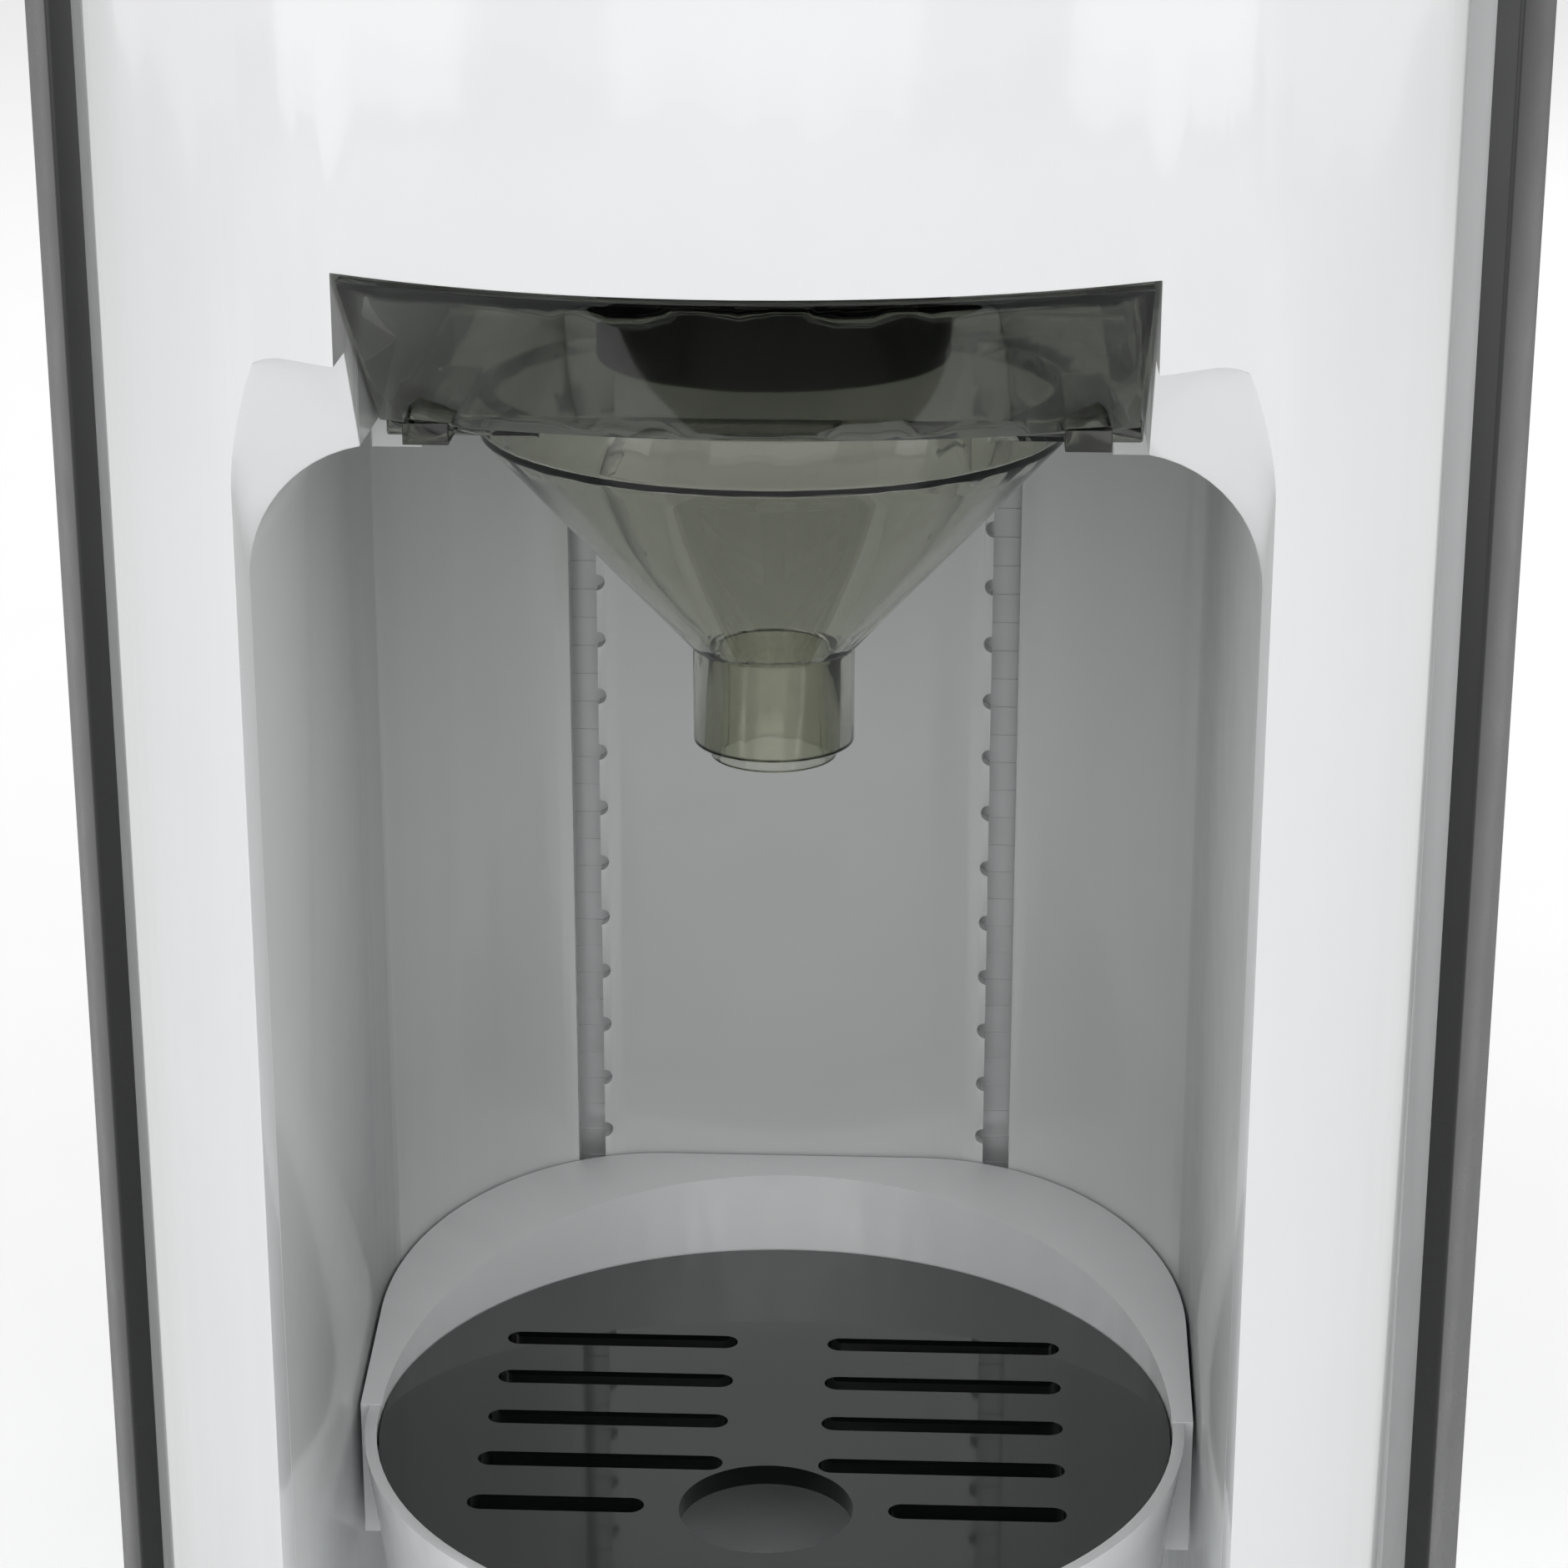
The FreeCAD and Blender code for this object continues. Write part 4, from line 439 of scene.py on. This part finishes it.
def bar(x0: float, x1: float, y0: float, y1: float) -> list[Point2]:
    """Outline of a rectangle.

    Args:
        x0: its left side.
        x1: its right side.
        y0: its lower side.
        y1: its upper side.

    Returns:
        The outline's points.
    """
    return [(x0, y0), (x1, y0), (x1, y1), (x0, y1)]


def disc(radius: float, x: float = 0.0, y: float = 0.0, steps: int = 24) -> list[Point2]:
    """Outline of a circle.

    Args:
        radius: its radius.
        x: its centre's x.
        y: its centre's y.
        steps: segments round it.

    Returns:
        The outline's points.
    """
    angles = [2 * math.pi * step / steps for step in range(steps)]
    return [(x + radius * math.cos(angle), y + radius * math.sin(angle)) for angle in angles]


def bow(radius: float, stroke: float, start_deg: float, end_deg: float, steps: int = 24) -> list[Point2]:
    """Outline of a part of a ring about the origin.

    Args:
        radius: the ring's outer radius.
        stroke: its width.
        start_deg: angle at which it starts.
        end_deg: angle at which it ends.
        steps: segments along it.

    Returns:
        The outline's points.
    """
    angles = [math.radians(start_deg + (end_deg - start_deg) * step / steps) for step in range(steps + 1)]
    outer = [(radius * math.cos(angle), radius * math.sin(angle)) for angle in angles]
    inner = [((radius - stroke) * math.cos(angle), (radius - stroke) * math.sin(angle)) for angle in angles]
    return outer + inner[::-1]


def moved(outline: Sequence[Point2], x: float, y: float) -> list[Point2]:
    """Shift an outline.

    Args:
        outline: its points.
        x: shift along x.
        y: shift along y.

    Returns:
        The shifted points.
    """
    return [(px + x, py + y) for px, py in outline]


# The bars that each number shows: t top, m middle, b bottom, u upper left, l lower left, T upper right
# and B lower right
LIT_BARS = {0: "tTBblu", 1: "TB", 2: "tTmlb", 3: "tTmBb", 4: "umTB", 5: "tumBb", 6: "tumlbB", 7: "tTB",
            8: "tTBblum", 9: "tTBbum"}


# Stroke, width, gap between bars and space between digits, as shares of a digit's height
DIGIT_STROKE = 0.11
DIGIT_WIDTH = 0.52
DIGIT_GAP = 0.03
DIGIT_SPACE = 0.2


def number(value: int, x: float, y: float, height: float) -> list[list[Point2]]:
    """Outlines of a whole number in seven-bar digits.

    Args:
        value: the number.
        x: left end of the first digit.
        y: foot of the digits.
        height: their height.

    Returns:
        The bars, which don't touch each other.
    """
    stroke = height * DIGIT_STROKE
    width = height * DIGIT_WIDTH
    gap = height * DIGIT_GAP
    half = height / 2
    bars: list[list[Point2]] = []
    for place, figure in enumerate(str(value)):
        left = x + place * (width + height * DIGIT_SPACE)
        right = left + width
        across = (left + stroke / 2 + gap, right - stroke / 2 - gap)
        shapes = {
            "t": bar(*across, y + height - stroke, y + height),
            "m": bar(*across, y + half - stroke / 2, y + half + stroke / 2),
            "b": bar(*across, y, y + stroke),
            "T": bar(right - stroke, right, y + half + gap + stroke / 2, y + height - stroke - gap),
            "B": bar(right - stroke, right, y + stroke + gap, y + half - gap - stroke / 2),
            "u": bar(left, left + stroke, y + half + gap + stroke / 2, y + height - stroke - gap),
            "l": bar(left, left + stroke, y + stroke + gap, y + half - gap - stroke / 2),
        }
        bars += [shapes[key] for key in LIT_BARS[int(figure)]]
    return bars


def soften(piece: bpy.types.Object, width_mm: float, segments: int = 3,
           angle_deg: float = CRISP_EDGE_DEG) -> None:
    """Round the crisp edges of a piece, as a mould does.

    Args:
        piece: the object.
        width_mm: width of the rounding.
        segments: faces across it.
        angle_deg: edges flatter than this stay as they are.
    """
    weld = piece.modifiers.new("weld", "WELD")
    weld.merge_threshold = WELD_REACH
    bevel = piece.modifiers.new("edge_rounding", "BEVEL")
    bevel.width = width_mm * MM
    bevel.segments = segments
    bevel.limit_method = "ANGLE"
    bevel.angle_limit = math.radians(angle_deg)
    bevel.use_clamp_overlap = True
    bevel.harden_normals = True


def paint(piece: bpy.types.Object, look: Look) -> bpy.types.Object:
    """Give every material slot of a piece one finish.

    Args:
        piece: the object.
        look: its finish.

    Returns:
        The piece.
    """
    material = look.material()
    if not piece.material_slots:
        piece.data.materials.append(material)
    for slot in piece.material_slots:
        slot.material = material
    return piece


def dress_node(name: str, look: Look, rounding_mm: float = 0.0, segments: int = 3) -> bpy.types.Object:
    """Finish a carried-over CAD node.

    Args:
        name: the node's name.
        look: its finish.
        rounding_mm: width of its edge rounding, or 0 for none.
        segments: faces across the rounding.

    Returns:
        The node's object.
    """
    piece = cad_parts[name]
    paint(piece, look)
    piece.data.shade_smooth()
    piece.data.set_sharp_from_angle(angle=math.radians(CRISP_EDGE_DEG))
    if rounding_mm > 0:
        soften(piece, rounding_mm, segments)
    log.info("dressed %s", name)
    return piece


def add_piece(piece: bpy.types.Object, body: str, look: Look, slot: str, *nodes: str) -> bpy.types.Object:
    """Finish a new piece and let it ride.

    Args:
        piece: the new object.
        body: the CAD body it moves with.
        look: its finish.
        slot: the record's material slot; not used.
        *nodes: CAD nodes that it stands for.

    Returns:
        The piece.
    """
    paint(piece, look)
    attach(piece, body)
    if nodes:
        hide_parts(*nodes)
    log.info("made %s", piece.name)
    return piece


def node_size(name: str) -> tuple[Vector, Vector]:
    """Find the space that a CAD node takes.

    Args:
        name: the node's name.

    Returns:
        Its lowest and its highest corner, in millimetres.
    """
    low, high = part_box(name)
    return low / MM, high / MM


# Sub-assemblies
@dataclass
class Casework:
    """Outer shells, trims, deck, base and feet."""

    shell_rounding: float = 1.2
    trim_rounding: float = 0.6
    deck_rounding: float = 0.8

    def build(self) -> None:
        """Dress the shells and their fasteners."""
        dress_node("front_shell", Look.WHITE_ABS, self.shell_rounding, 4)
        dress_node("rear_housing", Look.WHITE_ABS, self.trim_rounding)
        dress_node("base_plate", Look.WHITE_ABS, self.trim_rounding)
        dress_node("tank_platform", Look.WHITE_ABS, self.trim_rounding)
        for side in ("left", "right"):
            dress_node(f"trim_{side}", Look.TRIM_ABS, self.trim_rounding)
        dress_node("top_deck", Look.TRIM_ABS, self.deck_rounding)
        dress_node("rubber_feet", Look.RUBBER, self.trim_rounding)
        dress_node("cord_gland", Look.RUBBER, 0.3)
        dress_node("housing_screws", Look.STEEL, 0.15, 2)


@dataclass
class BottleBay:
    """Lining of the bay, its rails, and what hangs above the funnel. Sizes in millimetres."""

    groove_x: float = 28.4
    backing_half: float = 6.0
    backing_front: float = -11.4
    backing_back: float = -10.2
    groove_low: float = 8.0
    groove_high: float = 222.0
    tooth_pitch: float = 4.0
    tooth_height: float = 2.2
    tooth_depth: float = 0.2
    tooth_root: float = 0.1

    look: Look = Look.WHITE_ABS

    def groove_backing(self, side: int) -> None:
        """White strip with rack teeth that closes a groove of the back wall from behind.

        Args:
            side: -1 for the left groove, 1 for the right one.
        """
        x = side * self.groove_x
        strip = bar(x - self.backing_half, x + self.backing_half, self.backing_front, self.backing_back)
        teeth = bar(x - self.backing_half, x + self.backing_half,
                    self.backing_front - self.tooth_depth, self.backing_front + self.tooth_root)
        name = "left" if side < 0 else "right"
        piece = plates(f"groove_backing_{name}", [strip], self.groove_low, self.groove_high)
        add_piece(piece, "housing", self.look, "liner_white")
        count = int((self.groove_high - self.groove_low) / self.tooth_pitch)
        for index in range(count):
            low = self.groove_low + index * self.tooth_pitch
            tooth = plates(f"rack_tooth_{name}_{index:02d}", [teeth], low, low + self.tooth_height)
            add_piece(tooth, "housing", self.look, "liner_white")

    def build(self) -> None:
        """Dress the lining and the outlets and close the grooves."""
        for side in (-1, 1):
            self.groove_backing(side)
        # The lining and its rails take the greyer bay colour, which is painted shade of the recess
        dress_node("niche_liner", Look.BAY_ABS, 0.5)
        dress_node("funnel_rails", Look.BAY_ABS, 0.3)
        dress_node("powder_chute", Look.DARK_NYLON, 0.4)
        dress_node("water_spout", Look.ACETAL, 0.3)
        dress_node("funnel_sensor", Look.DARK_NYLON, 0.3)


@dataclass
class BottleStand:
    """Height-set stand with its lift-out drip plate."""

    def build(self) -> None:
        """Dress the stand and the plate."""
        dress_node("bottle_stand", Look.WHITE_ABS, 0.5)
        dress_node("drip_plate", Look.PIANO_BLACK)


@dataclass
class FunnelSet:
    """Funnel, inner nozzle and cover."""

    def build(self) -> None:
        """Dress the funnel, its nozzle and the cover."""
        dress_node("funnel", Look.SMOKED, 0.3)
        dress_node("funnel_nozzle", Look.SMOKED, 0.2)
        dress_node("funnel_cover", Look.SMOKED_DEEP, 0.3)


@dataclass
class ControlPanel:
    """Sloping panel with window, keys and lit digits. Sizes in millimetres."""

    slope_deg: float = 14.0
    middle: tuple[float, float, float] = (0.0, -118.5, 287.0)
    sink: float = 0.4
    proud: float = 0.04
    stroke: float = 0.7
    sign_arm: float = 2.2
    arrow_back: float = -2.4
    arrow_tip: float = 3.4
    arrow_half: float = 3.2
    ring_radius: float = 2.6
    ring_angles: tuple[float, float] = (125.0, 415.0)
    bulb_radius: float = 1.3
    bulb_y: float = -1.6
    dot_radius: float = 0.75
    digit_foot: float = -4.0
    digit_height: float = 8.0
    warmth_left: float = -19.0
    volume_left: float = -1.0

    def place(self) -> Matrix:
        """Matrix from the panel's own plane to the model's space."""
        slope = Matrix.Rotation(math.radians(self.slope_deg), 4, "X")
        return Matrix.Translation(Vector(self.middle) * MM) @ slope

    def node_box(self, name: str) -> tuple[Vector, Vector]:
        """Find the space that a node takes, seen from the panel.

        Args:
            name: the node's name.

        Returns:
            Its lowest and its highest corner in the panel's own plane, in millimetres.
        """
        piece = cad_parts[name]
        turn = self.place().inverted() @ piece.matrix_world
        corners = [turn @ vertex.co / MM for vertex in piece.data.vertices]
        low = Vector([min(corner[axis] for corner in corners) for axis in range(3)])
        high = Vector([max(corner[axis] for corner in corners) for axis in range(3)])
        return low, high

    def print_on(self, name: str, node: str, body: str, look: Look,
                 outlines: Sequence[Sequence[Point2]]) -> None:
        """Print flat shapes on the top of a node, about its middle.

        Args:
            name: the print's name.
            node: the CAD node that carries it.
            body: the CAD body it moves with.
            look: its finish.
            outlines: the shapes, in millimetres from the node's middle.
        """
        low, high = self.node_box(node)
        x, y = (low.x + high.x) / 2, (low.y + high.y) / 2
        shapes = [moved(outline, x, y) for outline in outlines]
        piece = plates(name, shapes, high.z - self.sink, high.z + self.proud)
        piece.data.transform(self.place())
        add_piece(piece, body, look, "white_gloss")

    def icons(self) -> dict[str, list[list[Point2]]]:
        """Draw the generic signs of the keys.

        Returns:
            The shapes of each key's sign: an arrow, a ring with a bar, a bulb with a stem, a cross, a bar
            and three dots.
        """
        half = self.stroke / 2
        dot = self.dot_radius
        arm = self.sign_arm
        cross = [(-arm, -half), (-half, -half), (-half, -arm), (half, -arm), (half, -half), (arm, -half),
                 (arm, half), (half, half), (half, arm), (-half, arm), (-half, half), (-arm, half)]
        return {
            "start": [[(self.arrow_back, -self.arrow_half), (self.arrow_tip, 0.0),
                       (self.arrow_back, self.arrow_half)]],
            "power": [bow(self.ring_radius, self.stroke, *self.ring_angles), bar(-half, half, 0.6, 3.1)],
            "temperature": [disc(self.bulb_radius, 0.0, self.bulb_y), bar(-half, half, -0.2, 3.0)],
            "volume_up": [cross],
            "volume_down": [bar(-arm, arm, -half, half)],
            "powder": [disc(dot, -1.5, -0.9), disc(dot, 1.5, -0.9), disc(dot, 0.0, 1.6)],
        }

    def build(self) -> None:
        """Dress the panel and its keys and print the signs."""
        for key, outlines in self.icons().items():
            self.print_on(f"{key}_sign", f"{key}_button", f"{key}_button", Look.PALE_INK, outlines)
        digits = number(40, self.warmth_left, self.digit_foot, self.digit_height)
        digits += number(120, self.volume_left, self.digit_foot, self.digit_height)
        self.print_on("display_digits", "display_module", "housing", Look.LIT_INK, digits)
        dress_node("control_panel", Look.PIANO_BLACK, 0.5)
        dress_node("display_window", Look.SMOKED_DEEP, 0.15)
        dress_node("display_module", Look.DARK_NYLON)
        dress_node("control_board", Look.LAMINATE)
        dress_node("control_board_screws", Look.STEEL)
        for key in ("start", "power", "temperature", "volume_up", "volume_down", "powder"):
            dress_node(f"{key}_button", Look.KEY_ABS, 0.4)


@dataclass
class PowderStore:
    """Container, lid, wheels and scraper."""

    def build(self) -> None:
        """Dress the container and its working parts."""
        dress_node("powder_container", Look.SMOKED_TANK, 0.4)
        dress_node("container_lid", Look.WHITE_ABS, 0.8)
        dress_node("container_lid_pin", Look.STEEL)
        dress_node("dosing_wheel", Look.ACETAL, 0.3)
        dress_node("stir_wheel", Look.ACETAL, 0.3)
        dress_node("scraper_plate", Look.STEEL, 0.1)


@dataclass
class DriveTrain:
    """Motor, bracket, gears and shafts."""

    def build(self) -> None:
        """Dress the drive."""
        for name in ("drive_gear", "motor_pinion"):
            dress_node(name, Look.ACETAL)
        for name in ("drive_shaft", "motor_shaft", "motor_screws", "gear_motor"):
            dress_node(name, Look.STEEL)
        dress_node("shaft_bush", Look.BRONZE)
        dress_node("motor_bracket", Look.DARK_NYLON)


@dataclass
class WaterTank:
    """Rear tank with lid, valve and level marks. Sizes in millimetres."""

    mark_step: float = 40.0
    mark_count: int = 6
    first_mark: float = 50.0
    mark_y: float = 100.0
    mark_length: float = 9.0
    mark_stroke: float = 0.8
    digit_height: float = 5.0
    digit_gap: float = 2.0
    ink_depth: float = 0.1

    def level_marks(self) -> None:
        """Level lines with plain numbers, printed on the tank's right side."""
        side = node_size("water_tank")[1].x
        shapes: list[list[Point2]] = []
        for index in range(self.mark_count):
            z = self.first_mark + index * self.mark_step
            shapes.append(bar(self.mark_y, self.mark_y + self.mark_length, z, z + self.mark_stroke))
            shapes += number(index + 1, self.mark_y + self.mark_length + self.digit_gap,
                             z - self.digit_height / 2, self.digit_height)
        piece = plates("tank_level_marks", shapes, side - self.ink_depth, side + self.ink_depth)
        onto_side = Matrix(((0, 0, 1, 0), (1, 0, 0, 0), (0, 1, 0, 0), (0, 0, 0, 1)))
        piece.data.transform(onto_side)
        add_piece(piece, "water_tank", Look.PALE_INK, "white_gloss")

    def build(self) -> None:
        """Dress the tank and print its levels."""
        self.level_marks()
        dress_node("water_tank", Look.SMOKED_TANK, 0.4)
        dress_node("tank_lid", Look.WHITE_ABS, 0.6)
        dress_node("tank_lid_pin", Look.STEEL)
        dress_node("valve_plunger", Look.ACETAL)
        dress_node("valve_spring", Look.STEEL)
        dress_node("socket_seal", Look.RUBBER)


@dataclass
class Plumbing:
    """Pump, heater, hoses and circuit boards."""

    def build(self) -> None:
        """Dress the inner parts."""
        dress_node("water_pump", Look.DARK_NYLON, 0.5)
        dress_node("pump_cradle", Look.DARK_NYLON)
        dress_node("heater_block", Look.STEEL, 0.3)
        dress_node("heater_bracket", Look.STEEL)
        for name in ("inlet_hose", "delivery_hose", "hot_hose"):
            dress_node(name, Look.RUBBER)
        for name in ("main_board", "power_board"):
            dress_node(name, Look.LAMINATE)


@dataclass(frozen=True)
class SoftBox:
    """A square lamp: its name, place and edge in metres, and its power in watts."""

    name: str
    place: tuple[float, float, float]
    size: float
    power: float


@dataclass
class Studio:
    """Floor, backdrop, lights and the camera. Sizes in metres."""

    lamps: tuple[SoftBox, ...] = (
        SoftBox("front_light", (0.0, -1.4, 0.6), 1.2, 4.1),
        SoftBox("left_light", (-1.2, -0.7, 0.5), 0.9, 3.4),
        SoftBox("right_light", (1.2, -0.7, 0.5), 0.9, 3.4),
        SoftBox("rear_light", (0.3, 1.2, 1.2), 0.9, 5.0),
    )
    aim_point: tuple[float, float, float] = (0.0, -0.05, 0.18)

    camera_place: tuple[float, float, float] = (0.0214, -0.5061, 0.3185)
    pitch_deg: float = 18.73
    yaw_deg: float = 2.67
    lens_mm: float = 86.9
    floor_half: float = 4.0
    floor_lift: float = 0.3
    room_light: float = 0.52

    def floor(self) -> None:
        """A pale floor that the camera sees as white, with the object's shadow on it."""
        half = self.floor_half
        ground = mesh_piece("floor", [(-half, -half, 0), (half, -half, 0), (half, half, 0), (-half, half, 0)],
                            [(0, 1, 2, 3)])
        material = bpy.data.materials.new("seamless_paper")
        material.use_nodes = True
        tree = material.node_tree
        tree.nodes.clear()
        place = add_node(tree, "ShaderNodeTexCoord").outputs["Object"]
        fibres = add_node(tree, "ShaderNodeTexNoise", {
            "Vector": place, "Scale": per_metre(PAPER_MM), "Detail": 2.0})
        tone = add_node(tree, "ShaderNodeMix", {
            0: fibres.outputs["Fac"], 6: linear("F7F7F7"), 7: linear("F3F3F3")}, data_type="RGBA")
        seen = add_node(tree, "ShaderNodeLightPath").outputs["Is Camera Ray"]
        lift = add_node(tree, "ShaderNodeMapRange", {
            "Value": seen, "To Min": 0.0, "To Max": self.floor_lift})
        shader = add_node(tree, "ShaderNodeBsdfPrincipled", {
            "Base Color": tone.outputs[2], "Roughness": 0.9, "Emission Color": (1.0, 1.0, 1.0, 1.0),
            "Emission Strength": lift.outputs["Result"]})
        add_node(tree, "ShaderNodeOutputMaterial", {"Surface": shader.outputs["BSDF"]})
        ground.data.materials.append(material)

    def world(self) -> None:
        """White to the camera, to reflections and through clear plastic; a soft grey light elsewhere."""
        world = bpy.data.worlds.new("studio")
        bpy.context.scene.world = world
        world.use_nodes = True
        tree = world.node_tree
        tree.nodes.clear()
        path = add_node(tree, "ShaderNodeLightPath")
        direct = add_node(tree, "ShaderNodeMath", {
            0: path.outputs["Is Camera Ray"], 1: path.outputs["Is Glossy Ray"]}, operation="MAXIMUM")
        seen = add_node(tree, "ShaderNodeMath", {
            0: direct.outputs[0], 1: path.outputs["Is Transmission Ray"]}, operation="MAXIMUM")
        strength = add_node(tree, "ShaderNodeMapRange", {
            "Value": seen.outputs[0], "To Min": self.room_light, "To Max": 1.0})
        light = add_node(tree, "ShaderNodeBackground", {
            "Color": (1.0, 1.0, 1.0, 1.0), "Strength": strength.outputs["Result"]})
        add_node(tree, "ShaderNodeOutputWorld", {"Surface": light.outputs["Background"]})

    def light(self, box: SoftBox) -> None:
        """Hang a soft box that points at the object.

        Args:
            box: the lamp.
        """
        data = bpy.data.lights.new(box.name, "AREA")
        data.energy = box.power
        data.size = box.size
        lamp = bpy.data.objects.new(box.name, data)
        lamp.location = box.place
        lamp.rotation_mode = "QUATERNION"
        lamp.rotation_quaternion = (Vector(self.aim_point) - Vector(box.place)).to_track_quat("-Z", "Y")
        bpy.context.scene.collection.objects.link(lamp)

    def camera(self) -> None:
        """The photograph's viewpoint: close, a little above, looking down into the bay."""
        data = bpy.data.cameras.new("camera")
        data.sensor_width = 36.0
        data.lens = self.lens_mm
        data.clip_start = 0.01
        data.clip_end = 50.0
        eye = bpy.data.objects.new("camera", data)
        pitch, yaw = math.radians(self.pitch_deg), math.radians(self.yaw_deg)
        level = math.cos(pitch)
        aim = Vector((-math.sin(yaw) * level, math.cos(yaw) * level, -math.sin(pitch)))
        eye.location = self.camera_place
        eye.rotation_mode = "QUATERNION"
        eye.rotation_quaternion = aim.to_track_quat("-Z", "Y")
        bpy.context.scene.collection.objects.link(eye)
        bpy.context.scene.camera = eye

    def build(self) -> None:
        """Set the whole studio."""
        bpy.context.scene.view_settings.view_transform = "Standard"
        self.camera()
        self.floor()
        self.world()
        for box in self.lamps:
            self.light(box)
        log.info("studio is set")


def main() -> None:
    """Build every sub-assembly in order."""
    logging.basicConfig(level=logging.INFO, format="%(message)s")
    for part in (Studio(), Casework(), BottleBay(), BottleStand(), FunnelSet(), ControlPanel(), PowderStore(),
                 DriveTrain(), WaterTank(), Plumbing()):
        part.build()
    bpy.context.view_layer.update()


if __name__ == "__main__":
    main()
